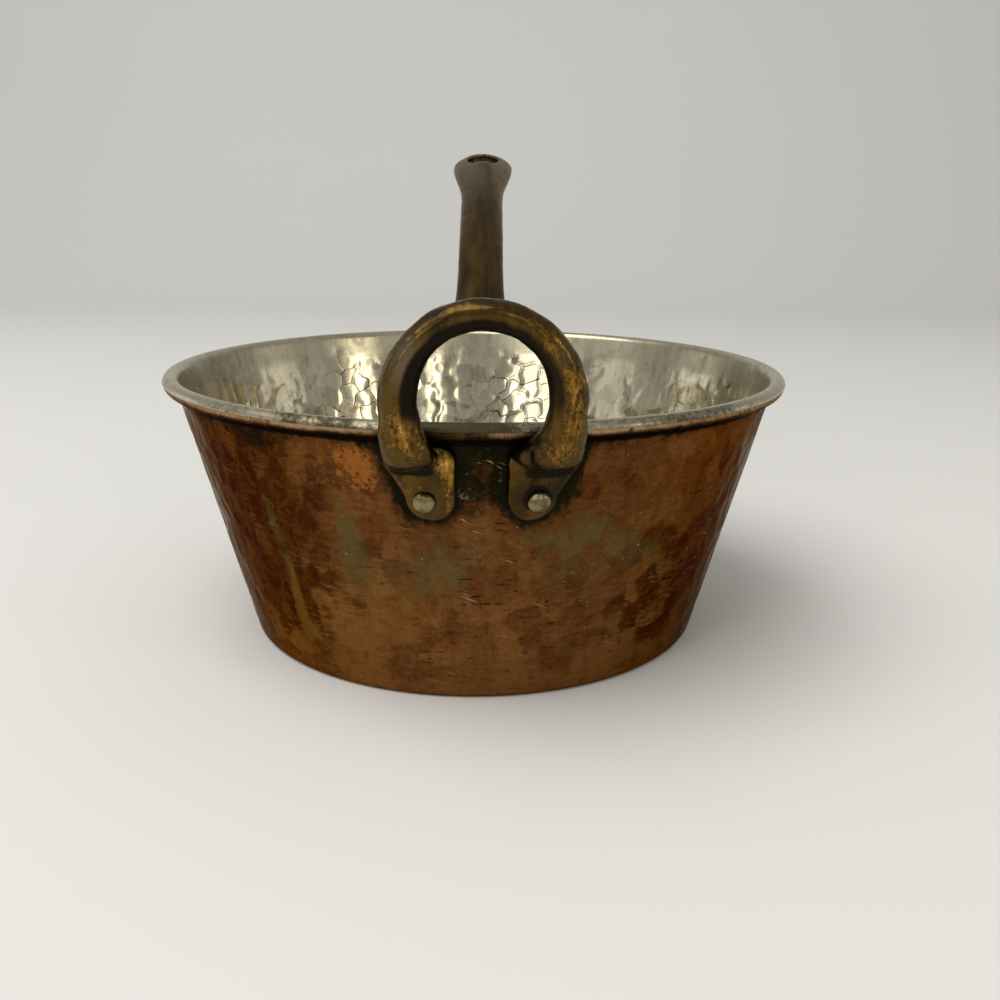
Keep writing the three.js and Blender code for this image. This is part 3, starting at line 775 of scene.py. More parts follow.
    def marked(self, name, *terms):
        """The piece's own mark of that name, with patterns weighed in."""
        return self.weighted(self.attribute(name), *terms)

    def painted(self, colour, layers):
        """Lays colours over each other, each by a step of the mark that it is named for."""
        for name, (over, step, *terms) in layers.items():
            colour = self.lay(colour, over, self.marked(name, *terms), *step)
        return colour

    def bump(self, height, depth, before=None):
        """Fine relief: the height times the depth, in metres, on top of what came before."""
        node = self.add("ShaderNodeBump")
        node.inputs["Distance"].default_value = depth
        self.feed(node.inputs["Height"], height)
        if before is not None:
            self.feed(node.inputs["Normal"], before)
        return node.outputs["Normal"]

    def finish(self, colour, roughness, normal):
        """Feeds the shader and gives the material."""
        self.feed(self.shader.inputs["Base Color"], colour)
        self.feed(self.shader.inputs["Roughness"], roughness)
        self.feed(self.shader.inputs["Normal"], normal)
        return self.material


def copper_look(colours):
    """Aged copper: facets and clouds of brown, red and ochre, with films, drips, rubbed spots, short brush
    dashes, pits and flecks laid over them where the piece's own marks say. Ridges are lighter, as rubbed wear
    and as painted shading of the facets. The bead gets a painted highlight on its front and painted shade
    below, and a painted black shadow line runs under it. Drips and dashes follow the wall."""
    look = Look("aged_copper", metallic=1.0, roughness=0.4, film=COPPER_FILM, glance=COPPER_GLANCE)
    flow = look.vector("flow")
    broad = look.noise(40 * MM, detail=4, distortion=0.6, place=flow, stretch=(1, 1, 1.6))
    cloud = look.noise(11 * MM, detail=7, roughness=0.68, distortion=0.9, place=flow, stretch=(1, 1, 1.7))
    drips = look.noise(6.5 * MM, detail=6, roughness=0.62, distortion=0.9, place=flow, stretch=(1, 1, 4))
    grain = look.noise(2.2 * MM, detail=6, roughness=0.75)
    dashes = look.noise(1.4 * MM, detail=4, roughness=0.6, distortion=0.3, place=flow, stretch=(5, 5, 1))
    hairs = look.noise(0.8 * MM, detail=2, distortion=0.5, place=look.tilted(-25), stretch=(9, 9, 1))
    dust = look.noise(0.8 * MM, detail=5, roughness=0.75)
    mark, climb = look.struck(1.0)
    colour = look.painted(colours.brown, {
        "ochre": (
            colours.ochre, (0.1, 1.0),
            (broad, 1.1), (cloud, 1.4), (mark, 0.5), (dashes, 0.6), (grain, 0.8),
        ),
        "red": (
            colours.red, (0.25, 0.85),
            (drips, 0.8), (cloud, 1.3), (mark, -0.45), (dashes, -0.7), (grain, 0.7),
        ),
        "brush": (colours.ochre, (0.45, 1.0, 0.0, 0.8), (dashes, 2.4), (cloud, 1.2)),
        "olive": (colours.olive, (0.25, 0.95, 0.0, 0.9), (cloud, 1.4), (drips, 1.0), (grain, 0.4)),
        "tan": (colours.tan, (0.4, 0.75, 0.0, 0.9), (cloud, 0.8), (drips, 0.6), (dashes, 0.5)),
        "worn": (colours.worn, (0.45, 0.85), (grain, 3.0), (cloud, 0.8)),
        "bead": (colours.bead, (0.45, 1.05), (grain, 1.6), (broad, 1.4)),
    })
    # Lighter tan on the ridges of the marks: rubbed wear, and painted shading of the facets.
    ridge = look.both(look.fade(climb, 0.0, 1.3, 0.28, 0.0), look.fade(cloud, 0.35, 0.6))
    colour = look.blend(ridge, colour, colours.tan)
    speckle = look.weighted(dust, (grain, 0.6))
    colour = look.lay(colour, colours.grime, speckle, 0.25, 0.52, 0.4, 0.0)
    colour = look.lay(colour, colours.worn, speckle, 0.52, 0.8, 0.0, 0.45)
    # Dirt round the plates, plus painted shade under the bead and on its underside.
    dirt = look.fade(look.marked("grime", (cloud, 1.1), (drips, 0.4), (grain, 1.0)), 0.3, 0.85)
    colour = look.blend(dirt, colour, colours.grime)
    colour = look.painted(colour, {
        "verdigris": (colours.verdigris, (0.75, 1.2, 0.0, 0.8), (grain, 4.0), (cloud, 1.2)),
    })
    nick = look.fade(look.weighted(dashes, (cloud, 0.5)), 0.29, 0.38, 0.85, 0.0)
    colour = look.blend(look.both(nick, look.fade(broad, 0.4, 0.6)), colour, colours.grime)
    colour = look.lay(colour, colours.grime, look.specks(17 * MM, 0.13, grain), 0.0, 0.05, 0.85, 0.0)
    hair = look.both(look.fade(hairs, 0.66, 0.74), look.fade(cloud, 0.45, 0.6, 0.0, 0.6))
    colour = look.blend(hair, colour, colours.worn)
    colour = look.lay(colour, colours.bead, look.specks(5 * MM, 0.07, dust), 0.0, 0.03, 0.9, 0.0)
    scratch = look.both(look.fade(hairs, 0.69, 0.74), look.fade(broad, 0.5, 0.6))
    colour = look.blend(scratch, colour, colours.bead)
    # Painted shadow: a black line under the bead.
    colour = look.painted(colour, {"crease": (colours.crease, (0.25, 0.75), (grain, 0.5), (cloud, 0.5))})
    normal = look.bump(look.noise(3 * MM, detail=2), 0.04 * MM)
    normal = look.bump(dashes, 0.02 * MM, normal)
    roughness = look.weighted(look.fade(dirt, 0.0, 1.0, 0.32, 0.6), (cloud, 0.25), (mark, 0.2), (grain, 0.25))
    return look.finish(colour, roughness, normal)


def tin_look(colours):
    """Wiped tin: grey, clouded and streaked down the wall, brighter where it is clean, with the ridges drawn
    dark as a little dirt and as painted shade where the lamps' reflections fall, duller on the bead and in
    the band below the rim, the bead's front dark olive as a film and a painted dark reflection, and fine
    lines round the pan."""
    look = Look("wiped_tin", metallic=1.0, roughness=0.2)
    flow = look.vector("flow")
    cloud = look.noise(20 * MM, detail=6, roughness=0.6, distortion=0.6)
    smear = look.noise(6 * MM, detail=5, roughness=0.6, distortion=0.5, place=flow, stretch=(1, 1, 5))
    grain = look.noise(1.6 * MM, detail=4, roughness=0.65)
    mottle = look.noise(8 * MM, detail=7, roughness=0.7, distortion=1.2, place=flow, stretch=(1, 1, 1.8))
    wiped = look.noise(1.2 * MM, detail=3, stretch=(10, 10, 1))
    edge = look.attribute("edge")
    mark, climb = look.struck(0.3)
    colour = look.painted(colours.dull, {
        "clean": (colours.bright, (0.1, 0.9), (cloud, 1.2), (smear, 0.8), (mark, 0.4)),
    })
    stain = look.weighted(mottle, (grain, 0.3), (cloud, 0.8))
    colour = look.lay(colour, colours.stain, stain, 0.45, 0.8, 0.0, 0.55)
    # Dark lines along the ridges: dirt, and painted shade where the lamps' reflections fall.
    line = look.both(look.fade(climb, 0.08, 0.4, 1.0, 0.0), look.attribute("lined"))
    drawn = look.fade(look.weighted(line, (cloud, 0.9), (grain, 0.5)), 0.25, 0.8, 0.0, 0.9)
    colour = look.blend(look.both(drawn, look.fade(line, 0.0, 0.3)), colour, colours.stain)
    clouded = look.fade(look.marked("band", (cloud, 0.7), (smear, 0.7), (wiped, 0.3)), 0.1, 0.9)
    colour = look.lay(colour, colours.dull, clouded, 0.0, 1.0, 0.0, 0.35)
    colour = look.blend(edge, colour, colours.edge)
    spotted = look.fade(look.weighted(grain, (cloud, 0.8)), 0.45, 0.8, 0.0, 0.45)
    colour = look.blend(look.both(edge, spotted), colour, colours.olive)
    # The front of the bead turns dark olive: a film and a painted dark reflection, with painted shade behind
    # the loop and a painted highlight at the inner top edge.
    dulled = look.fade(look.marked("front", (cloud, 1.4), (grain, 0.9)), 0.3, 1.0, 0.0, 0.94)
    dulled = look.both(edge, dulled)
    colour = look.blend(dulled, colour, colours.olive)
    normal = look.bump(grain, 0.008 * MM)
    normal = look.bump(wiped, 0.006 * MM, normal)
    normal = look.bump(line, 0.02 * MM, normal)
    roughness = look.fade(clouded, 0.0, 1.0, 0.14, 0.28)
    roughness = look.weighted(roughness, (mottle, 0.35), (smear, 0.2), (wiped, 0.08))
    roughness = look.math("ADD", roughness, look.fade(dulled, 0.0, 1.0, 0.0, 0.3))
    return look.finish(colour, roughness, normal)


def brass_look(colours):
    """Patinated cast brass: olive-brown with darker clouds, a grey film, gold specks where it is rubbed, and
    brown-black dirt in the corners. The grey film is also a painted highlight on the loop's upper arch, and
    the dark of the corners is also painted shade under the loop's feet and along the inner side of its arch.
    Streaks follow the handle."""
    look = Look("cast_brass", metallic=1.0, roughness=0.4, film=BRASS_FILM, glance=BRASS_GLANCE)
    flow = look.vector("flow")
    cloud = look.noise(9 * MM, detail=5, distortion=0.6, place=flow, stretch=(1, 3, 1))
    grain = look.noise(1.1 * MM, detail=7, roughness=0.8, distortion=0.5)
    streak = look.noise(3.5 * MM, detail=5, roughness=0.6, place=flow, stretch=(1, 14, 1))
    brushed = look.noise(1.2 * MM, detail=5, roughness=0.7, distortion=0.5, place=flow, stretch=(1, 4, 1))
    colour = look.lay(colours.dark, colours.deep, cloud, 0.35, 0.7)
    # The grey layer is partly a film and partly a painted highlight on the loop's arch.
    colour = look.painted(colour, {
        "grey": (colours.grey, (0.3, 0.9, 0.0, 0.8), (cloud, 0.6)),
        "streak": (colours.deep, (0.5, 1.0, 0.0, 0.75), (streak, 1.6), (brushed, 0.9)),
    })
    wear = look.attribute("wear")
    rubbed = look.weighted(wear, (grain, 2.4), (brushed, 2.0), (cloud, 0.8))
    gold = look.fade(rubbed, 0.3, 0.95)
    colour = look.blend(gold, colour, colours.worn)
    colour = look.lay(colour, colours.polished, rubbed, 0.85, 1.5)
    half_worn = look.both(look.fade(wear, 0.2, 0.5), look.fade(wear, 0.8, 1.1, 1.0, 0.0))
    pit = look.fade(look.weighted(grain, (brushed, 0.6)), 0.34, 0.46, 0.8, 0.0)
    colour = look.blend(look.both(half_worn, pit), colour, colours.deep)
    # Dirt in the corners, plus painted shade under the loop's feet and inside its arch.
    dirt = look.fade(look.marked("crevice", (grain, 0.5), (cloud, 0.4)), 0.35, 0.85)
    colour = look.blend(dirt, colour, colours.crevice)
    normal = look.bump(look.noise(1.6 * MM, detail=2), 0.03 * MM)
    normal = look.bump(streak, 0.02 * MM, normal)
    roughness = look.fade(dirt, 0.0, 1.0, 0.26, 0.55)
    roughness = look.weighted(roughness, (cloud, 0.2), (grain, 0.2), (gold, -0.05))
    return look.finish(colour, roughness, normal)


def rivet_look(colours, tin):
    """Hammered brass rivet: pale on the dome, dirty round its foot, tinned over on its tail."""
    look = Look("rivet_brass", metallic=0.85, roughness=0.38)
    cloud = look.noise(3 * MM, detail=4)
    grain = look.noise(0.7 * MM, detail=3)
    dirt = look.fade(look.marked("foot", (cloud, 0.6), (grain, 0.3)), 0.45, 0.95)
    colour = look.lay(colours.rivet, colours.dark, cloud, 0.35, 0.75)
    colour = look.blend(dirt, colour, colours.crevice)
    tinned = look.attribute("tinned")
    colour = look.blend(tinned, colour, look.blend(cloud, tin.bright, tin.dull))
    roughness = look.weighted(look.fade(dirt, 0.0, 1.0, 0.3, 0.6), (grain, 0.2))
    roughness = look.weighted(roughness, (look.fade(tinned, 0.0, 1.0, 0.5, 0.34), 1.0))
    return look.finish(colour, roughness, look.bump(grain, 0.03 * MM))


def wire_look():
    """Drawn iron wire: dark, with a little rust."""
    look = Look("iron_wire", metallic=0.9, roughness=0.6)
    cloud = look.noise(4 * MM, detail=4)
    colour = look.lay(linear(66, 64, 62), linear(92, 58, 36), cloud, 0.4, 0.7)
    return look.finish(colour, look.fade(cloud, 0.3, 0.8, 0.5, 0.75), look.bump(cloud, 0.04 * MM))


def floor_look(colour):
    """Pale, even, matt stage with the faintest cloud in it."""
    look = Look("pale_floor", metallic=0.0, roughness=0.9)
    cloud = look.noise(500 * MM, detail=2)
    shade = tuple(0.97 * value for value in colour)
    return look.finish(look.blend(cloud, colour, shade), 0.9, look.bump(cloud, 0.1 * MM))


def spot(across, up, at, height, wide, tall):
    """A soft round patch: 1 at its middle, falling off as a bell curve across and up. Where across counts in
    degrees, it closes on itself at 360."""
    gap = (across - at + 180) % 360 - 180
    return bell(gap, wide) * bell(up - height, tall)


def patched(across, up, rows):
    """Sum of soft round patches, each times its strength."""
    return sum(strength * spot(across, up, *patch) for strength, *patch in rows)


def plate_gap(points, outline, turn):
    """How far points of the wall lie from a plate's outline, across and up, on the plate's side."""
    widest, lowest = 45 * MM, 25 * MM
    x, y, z = np.moveaxis(turned(points, -turn), -1, 0)
    near = (y > 0) & (np.abs(x) < widest) & (z > lowest)
    gap = np.full(len(points), RIM_RADIUS)
    place = np.stack([x[near], z[near]], axis=-1)
    gap[near] = np.linalg.norm(place[:, None] - outline, axis=-1).min(axis=1)
    return gap


def bead_angle(points):
    """Angle round the bead's middle, from 0 outwards to a quarter turn at its top."""
    out = np.hypot(points[:, 0], points[:, 1])
    return np.arctan2(points[:, 2] - BEAD_CENTRE[1], out - BEAD_CENTRE[0])


def paint_copper(mesh, points):
    """Says where the copper is red, golden, filmed, rubbed and dirty, and where light and shade are painted
    on the bead and under it: patches by the azimuth from the front, slow waves round the pan, and bell curves
    of the distance from the bead's painted shadow line and from the plates."""
    azimuth = np.degrees(np.arctan2(points[:, 0], -points[:, 1]))
    height = points[:, 2] / MM
    out = np.hypot(points[:, 0], points[:, 1])
    waves = np.cos(np.radians(azimuth * 3 + 40)) * 0.16 + np.cos(np.radians(azimuth * 5 - 70)) * 0.14
    marks = {name: patched(azimuth, height, rows) for name, rows in COPPER_PATCHES.items()}
    marks["red"] += 0.28 + waves
    marks["ochre"] += 0.3 - 0.8 * waves
    bead = ease(height, 96.0, 97.5) * ease(out, RIM_RADIUS - 4.6 * MM, RIM_RADIUS - 2.6 * MM)
    # Painted highlight on the bead's upper front, dimmed behind the loop as its painted shade.
    behind_loop = spot(azimuth, height, -2, 98, 12, 20)
    lit = ease(bead_angle(points), -1.1, 0.1) * (1 - 0.55 * behind_loop)
    lugs = np.concatenate([lug_outline() * (side, 1) for side in (1, -1)])
    gap = np.minimum(plate_gap(points, lugs, LOOP_TURN), plate_gap(points, flange_outline(), 0.0))
    # Painted shade: a dark band under the bead, on top of dirt in patches and round the plates.
    grime = marks.pop("grime") + 0.55 * bell(height - 95.5, 5)
    grime += 0.42 * bell(gap, 2.6 * MM) + 0.16 * bell(gap, 8 * MM)
    # Painted shade on the bead's underside, less where its painted highlight falls.
    grime = np.where(bead > 0.5, mix(0.95, 0.2, lit), grime)
    # Darker towards the very bottom.
    grime += 0.3 * (1 - ease(height, 0.5, 3.5))
    paint(mesh, grime=grime, verdigris=marks.pop("verdigris"))
    paint(mesh, **{name: values * (1 - bead) for name, values in marks.items()})
    # Painted highlight on the bead's front, and a painted black shadow line under the bead.
    paint(mesh, bead=bead * mix(0.2, 1.0, lit), crease=bell(height - 95.6, 1.6))
    paint_vectors(mesh, "flow", unrolled(points, RIM_RADIUS))


def bowl_profile():
    """Section of the copper sheet: along the base, up the wall, round the wire's channel, back over the
    bead and down inside. Returns its points and which of them are the wall outside, which is struck."""
    down = -math.pi / 2
    wall_side = math.pi - WALL_SLOPE
    curl = -WALL_SLOPE - math.acos((CURL_GAP - CHANNEL_RADIUS) / BEAD_RADIUS)
    foot = arc(CORNER_CENTRE, CORNER_RADIUS, down, -WALL_SLOPE, HIDDEN_RINGS)
    channel = arc(BEAD_CENTRE, CHANNEL_RADIUS, wall_side, curl, BEAD_RINGS // 2)
    bead = arc(BEAD_CENTRE, BEAD_RADIUS, curl, wall_side, BEAD_RINGS)
    heel = arc(CORNER_CENTRE, CORNER_RADIUS - COPPER, -WALL_SLOPE, down, HIDDEN_RINGS // 2)
    base = straight((0, 0), foot[0], HIDDEN_RINGS)
    wall = straight(foot[-1], channel[0], WALL_RINGS)
    back = straight(bead[-1], heel[0], HIDDEN_RINGS)
    floor = straight(heel[-1], (0, COPPER), HIDDEN_RINGS // 2)
    parts = [base, foot, wall, channel, bead, back, heel, floor]
    return np.concatenate(parts), rings_of(parts, wall)


def rings_of(parts, chosen):
    """Which points of a profile made of several parts belong to the chosen one."""
    return np.concatenate([np.full(len(part), part is chosen) for part in parts])


def bowl_mesh(hammer):
    """The bowl: its section turned round the axis, with hammer marks on the wall that fade out at the foot
    and under the bead."""
    profile, wall = bowl_profile()
    turn = (np.arange(BOWL_COLUMNS) / BOWL_COLUMNS)[None, :]
    relief, *marks = beaten(profile, wall, turn, hammer.size_outside, hammer.seed)
    height = profile[:, 1:]
    fade = ease(height, *MARKS_FOOT) * (1 - ease(height, *MARKS_TOP))
    grid = revolved(profile, turn, np.minimum(relief, RIDGE_LIMIT) * hammer.outside * fade)
    points = ring_points((0, 0, 0), grid, (0, 0, COPPER))
    mesh = new_mesh("hammered_bowl", points, ring_faces(len(profile), BOWL_COLUMNS))
    paint_marks(mesh, fade, *marks)
    paint_copper(mesh, points)
    return mesh


def lining_profile():
    """Section of the tin: its outer side out along the base, up and over the bead, and its inner side back.
    Returns its points, and which of them are the inner wall and the inner floor, which are struck."""
    down = -math.pi / 2
    wall_side = math.pi - WALL_SLOPE
    heel = arc(CORNER_CENTRE, CORNER_RADIUS - COPPER - TIN_GAP, down, -WALL_SLOPE, HIDDEN_RINGS // 2)
    under = arc(BEAD_CENTRE, BEAD_RADIUS + TIN_GAP, wall_side, TIN_EDGE, BEAD_RINGS // 3)
    over = arc(BEAD_CENTRE, TINNED_RADIUS, TIN_EDGE, wall_side, BEAD_RINGS * 2 // 3)
    foot = arc(CORNER_CENTRE, CORNER_RADIUS - LINING_DEPTH, -WALL_SLOPE, down, HIDDEN_RINGS)
    outside = straight(heel[-1], under[0], HIDDEN_RINGS)
    base = straight((0, LINING_DEPTH - TIN), heel[0], HIDDEN_RINGS // 2)
    wall = straight(over[-1], foot[0], LINING_RINGS)
    floor = straight(foot[-1], (0, LINING_DEPTH), FLOOR_RINGS)
    parts = [base, heel, outside, under, over, wall, foot, floor]
    return np.concatenate(parts), rings_of(parts, wall), rings_of(parts, floor)


def lining_mesh(hammer):
    """The tin: its section turned round the axis, with dished marks on the inner wall and shallow ones on the
    floor. They fade out in a wavy line below the rim and round the corner of the floor."""
    profile, wall, floor = lining_profile()
    turn = (np.arange(LINING_COLUMNS) / LINING_COLUMNS)[None, :]
    relief, *marks = beaten(profile, wall, turn, hammer.size_inside, hammer.seed + 1)
    flat, *floor_marks = beaten(profile, floor, turn, hammer.size_floor, hammer.seed + 2)
    out, height = profile[:, :1], profile[:, 1:]
    angle = 2 * np.pi * turn
    ring = np.broadcast_arrays(RIM_RADIUS * np.cos(angle), RIM_RADIUS * np.sin(angle), height)
    wave = SMOOTH_WAVE * ripple(np.stack(ring, axis=-1), SMOOTH_WAVE_SIZE, hammer.seed + 3)
    start = PAN_HEIGHT - SMOOTH_BAND + wave
    fade = 1 - ease(height, start - 6 * MM, start + 5 * MM)
    fade = fade * (1 - bell(out - BASE_RADIUS, SMOOTH_CORNER) * bell(height, SMOOTH_CORNER))
    dish = np.clip(relief + 1, 0, 1.5) ** 2 - 0.6
    depth = dish * wall[:, None] + flat * floor[:, None]
    grid = revolved(profile, turn, depth * hammer.inside * fade)
    points = ring_points((0, 0, profile[0, 1]), grid, (0, 0, profile[-1, 1]))
    mesh = new_mesh("tinned_inside", points, ring_faces(len(profile), LINING_COLUMNS))
    on_floor = floor[:-1, None, None]
    paint_marks(mesh, fade, *(np.where(on_floor, low, high) for low, high in zip(floor_marks, marks)))
    paint_lining(mesh, points)
    return mesh


def paint_lining(mesh, points):
    """Says where the ridges of the tin are drawn dark, as dirt and as painted shade where the lamps'
    reflections fall, where it is clouded and clean, by its height, and where it is thin over the front of the
    bead, by the angle round the bead. The front of the bead is a film and a painted dark reflection, lighter
    at the inner top edge as a painted highlight and darker behind the loop as its painted shade."""
    x, y, level = np.moveaxis(points, -1, 0)
    drawn = sum(strength * bell(x - middle, width) for strength, middle, width in LINED_PLACES)
    # Painted shade behind the loop.
    behind_loop = bell(x + 4 * MM, 24 * MM)
    # Dark film and painted dark reflection on the bead's front, lighter at its inner top edge as a painted
    # highlight.
    on_top = 0.75 - 0.5 * ease(bead_angle(points), 1.1, 1.5)
    begin = mix(60, 74, ease(-x, 0, 60 * MM)) * MM
    near = ease(-y - begin, 0, 30 * MM)
    paint(
        mesh,
        lined=(0.2 + 0.8 * np.minimum(drawn, 1) * (y > 0)) * ease(level, 4 * MM, 14 * MM),
        band=ease(level, PAN_HEIGHT - 16 * MM, PAN_HEIGHT - 6 * MM),
        edge=ease(np.hypot(x, y), RIM_RADIUS - 6 * MM, RIM_RADIUS - 4.5 * MM),
        front=near * np.maximum(on_top, 1.25 * behind_loop),
        clean=0.35 + 0.35 * ease(level, 10 * MM, 60 * MM),
    )
    paint_vectors(mesh, "flow", unrolled(points, RIM_RADIUS))


def seated(points, across, height, turn):
    """Points that stand on a seat of the wall with +Y square to it, brought to their place on the pan."""
    cosine, sine = math.cos(WALL_SLOPE), math.sin(WALL_SLOPE)
    radius = wall_radius(height)
    x, y, z = np.moveaxis(points, -1, 0)
    place = np.stack([x, radius + y * cosine + z * sine, height - y * sine + z * cosine], axis=-1)
    return turned(place, turn - math.asin(across / radius))


def rivet_mesh(name, across, height, turn, seed):
    """A rivet along +Y: a profile turned round its axis, with a flat tail that is tinned over inside the pan,
    a shank and a domed head. Soft random fields dent the dome, as a few hammer blows do."""
    tail_seat = TAIL_SINK - LINING_DEPTH
    head_seat = PLATE_GAP + PLATE + RIVET_SEAT_GAP
    angle = np.linspace(0, math.pi / 2, RIVET_RINGS + 1)[:-1]
    bulge = RIVET_TAIL_DOME * np.cos(angle[1:]) ** 2
    tail = np.stack([RIVET_TAIL * np.sin(angle[1:]), tail_seat - bulge], axis=-1)
    edge = np.array([[RIVET_TAIL, tail_seat], [RIVET_SHANK, tail_seat], [RIVET_SHANK, head_seat]])
    dome = (RIVET_DOME - RIVET_FOOT) * np.cos(angle[::-1])
    head = np.stack([RIVET_HEAD * np.sin(angle[::-1]), head_seat + RIVET_FOOT + dome], axis=-1)
    rim = np.array([[RIVET_HEAD * 0.97, head_seat], [RIVET_HEAD, head_seat + RIVET_FOOT / 2]])
    profile = np.concatenate([tail, edge, rim, head[:-1]])
    side = 2 * np.pi * np.arange(RIVET_SIDES) / RIVET_SIDES
    radius, along = profile[:, :1], profile[:, 1:]
    grid = np.stack([radius * np.sin(side), along + 0 * side, radius * np.cos(side)], axis=-1)
    dented = grid[..., 1] > head_seat + RIVET_FOOT
    dents = sum(ripple(grid, size, seed + blow) * depth for blow, (size, depth) in enumerate(RIVET_DENTS))
    grid[..., 1] += np.where(dented, dents, 0)
    top = grid[-1].mean(axis=0) + (0, 0.02 * MM, 0)
    points = ring_points((0, tail_seat - RIVET_TAIL_DOME, 0), grid, top)
    mesh = new_mesh(name, seated(points, across, height, turn), ring_faces(len(profile), RIVET_SIDES))
    out = np.hypot(points[:, 0], points[:, 2])
    outside = points[:, 1] > 0
    paint(mesh, foot=ease(out, RIVET_HEAD * 0.9, RIVET_HEAD * 1.04) * outside, tinned=1.0 - outside)
    return mesh


def swept(line, across, half_width, above, below, sides, ridge=0.0):
    """Closed tube: an oval carried along a line. The direction across is carried on from place to place
    and kept square to the line, and the oval reaches above and below it by its own sizes. A ridge, given as
    a share of those sizes, can run along the upper side."""
    along = unit(np.gradient(line, axis=0))
    carried = []
    for direction in along:
        across = across - direction * (across @ direction)
        across = across / np.linalg.norm(across)
        carried.append(across)
    across = np.array(carried)
    over = np.cross(along, across)
    side = 2 * np.pi * np.arange(sides) / sides
    wide = half_width[:, None] * np.cos(side)
    tall = np.where(np.sin(side) > 0, above[:, None], below[:, None]) * np.sin(side)
    swell = 1 + np.reshape(ridge, (-1, 1, 1)) * bell(side - RIDGE_BEARING, RIDGE_SPREAD)[:, None]
    reach = wide[..., None] * across[:, None] + tall[..., None] * over[:, None]
    return ring_points(line[0], line[:, None] + swell * reach, line[-1]), ring_faces(len(line), sides)


def bent_plate(outline, middle, thickness):
    """Closed plate bent to the wall: rays run from its middle to its outline and back behind. Its front keeps
    its thickness and falls to the wall as a rounded edge: the thickness times the nth root of 1 less the nth
    power of the share of the way to the outline."""
    across, up = middle
    edge = outline - middle
    bearing = np.arctan2(edge[:, 1], edge[:, 0])
    order = np.argsort(bearing)
    ray = np.linspace(-math.pi, math.pi, PLATE_RAYS, endpoint=False)
    reach = np.interp(ray, bearing[order], np.hypot(edge[:, 0], edge[:, 1])[order], period=2 * math.pi)
    share = np.sin(np.linspace(0, math.pi / 2, PLATE_RINGS + 1))[1:]
    front = thickness * (1 - share ** PLATE_ROUNDNESS) ** (1 / PLATE_ROUNDNESS)
    offset = PLATE_GAP + np.concatenate([front, np.zeros(PLATE_RINGS - 1)])[:, None]
    share = np.concatenate([share, share[-2::-1]])[:, None]
    x = across + share * reach * np.cos(ray)
    z = up + share * reach * np.sin(ray)
    grid = np.stack([x, on_wall(x, z, offset), z], axis=-1)
    face, back = ((across, on_wall(across, up, PLATE_GAP + depth), up) for depth in (thickness, 0))
    return ring_points(face, grid, back), ring_faces(len(grid), PLATE_RAYS)


def joined(shells):
    """Several closed shells as one set of points and faces."""
    starts = np.cumsum([0, *(len(points) for points, _ in shells)])
    faces = [part + start for (_, parts), start in zip(shells, starts) for part in parts]
    return np.concatenate([points for points, _ in shells]), faces


def cast(name, shells, grain, fillets, uneven, drill=None):
    """One casting from closed shells that run into each other: cells of the grain's size fuse them, passes
    of smoothing round the corners and fill the inner ones, and soft random fields make it uneven."""
    work = bpy.data.objects.new(name, new_mesh(name, *joined(shells)))
    bpy.context.scene.collection.objects.link(work)
    if drill is not None:
        cutter = bpy.data.objects.new("drill", new_mesh("drill", *drill))
        bpy.context.scene.collection.objects.link(cutter)
        cut = work.modifiers.new("hole", "BOOLEAN")
        cut.operation = "DIFFERENCE"
        cut.object = cutter
        cut.use_self = True
    fuse = work.modifiers.new("fuse", "REMESH")
    fuse.mode = "VOXEL"
    fuse.voxel_size = grain
    fillet = work.modifiers.new("fillet", "SMOOTH")
    fillet.factor = 0.5
    fillet.iterations = fillets
    graph = bpy.context.evaluated_depsgraph_get()
    mesh = bpy.data.meshes.new_from_object(work.evaluated_get(graph))
    mesh.name = name
    bpy.data.objects.remove(work)
    if drill is not None:
        bpy.data.objects.remove(cutter)
    if len(mesh.polygons) == 0:
        raise RuntimeError(f"{name} came out empty")
    for size, depth, seed in uneven:
        roughen(mesh, size, depth, seed)
    return mesh


def loop_line():
    """Middle line of the loop: out of one lug, round its elbow, up the leg, over the arch and down again."""
    knee = LOOP_NECK_UP + LOOP_ELBOW
    stand_off = RIM_RADIUS + LOOP_RIM_GAP + LOOP_DEPTH / 2

    def leaning(x, z):
        return np.stack([x, stand_off + (z - BEAD_CENTRE[1]) * math.tan(LOOP_LEAN), z + 0 * x], axis=-1)

    knee_point = leaning(np.array(LOOP_KNEE), np.array(knee))
    corner = np.array([LOOP_FOOT, knee_point[1], LOOP_NECK_UP])
    root = np.array([[LOOP_FOOT, wall_radius(LOOP_NECK_UP) + 0.5 * PLATE, LOOP_NECK_UP]])
    elbow = curve([corner - (0, LOOP_ELBOW, 0), corner, knee_point], LEG_STEPS)
    share = np.linspace(0, 1, LEG_STEPS)
    leg = leaning(mix(LOOP_KNEE, LOOP_HALF_SPAN, ease(share, 0, 1)), mix(knee, LOOP_ARCH, share))
    angle = np.linspace(0, math.pi / 2, CROWN_STEPS)
    crown = leaning(LOOP_HALF_SPAN * np.cos(angle), LOOP_ARCH + LOOP_HALF_SPAN * np.sin(angle))
    half = np.concatenate([root, elbow, leg[1:], crown[1:]])
    return np.concatenate([half, half[-2::-1] * (-1, 1, 1)])


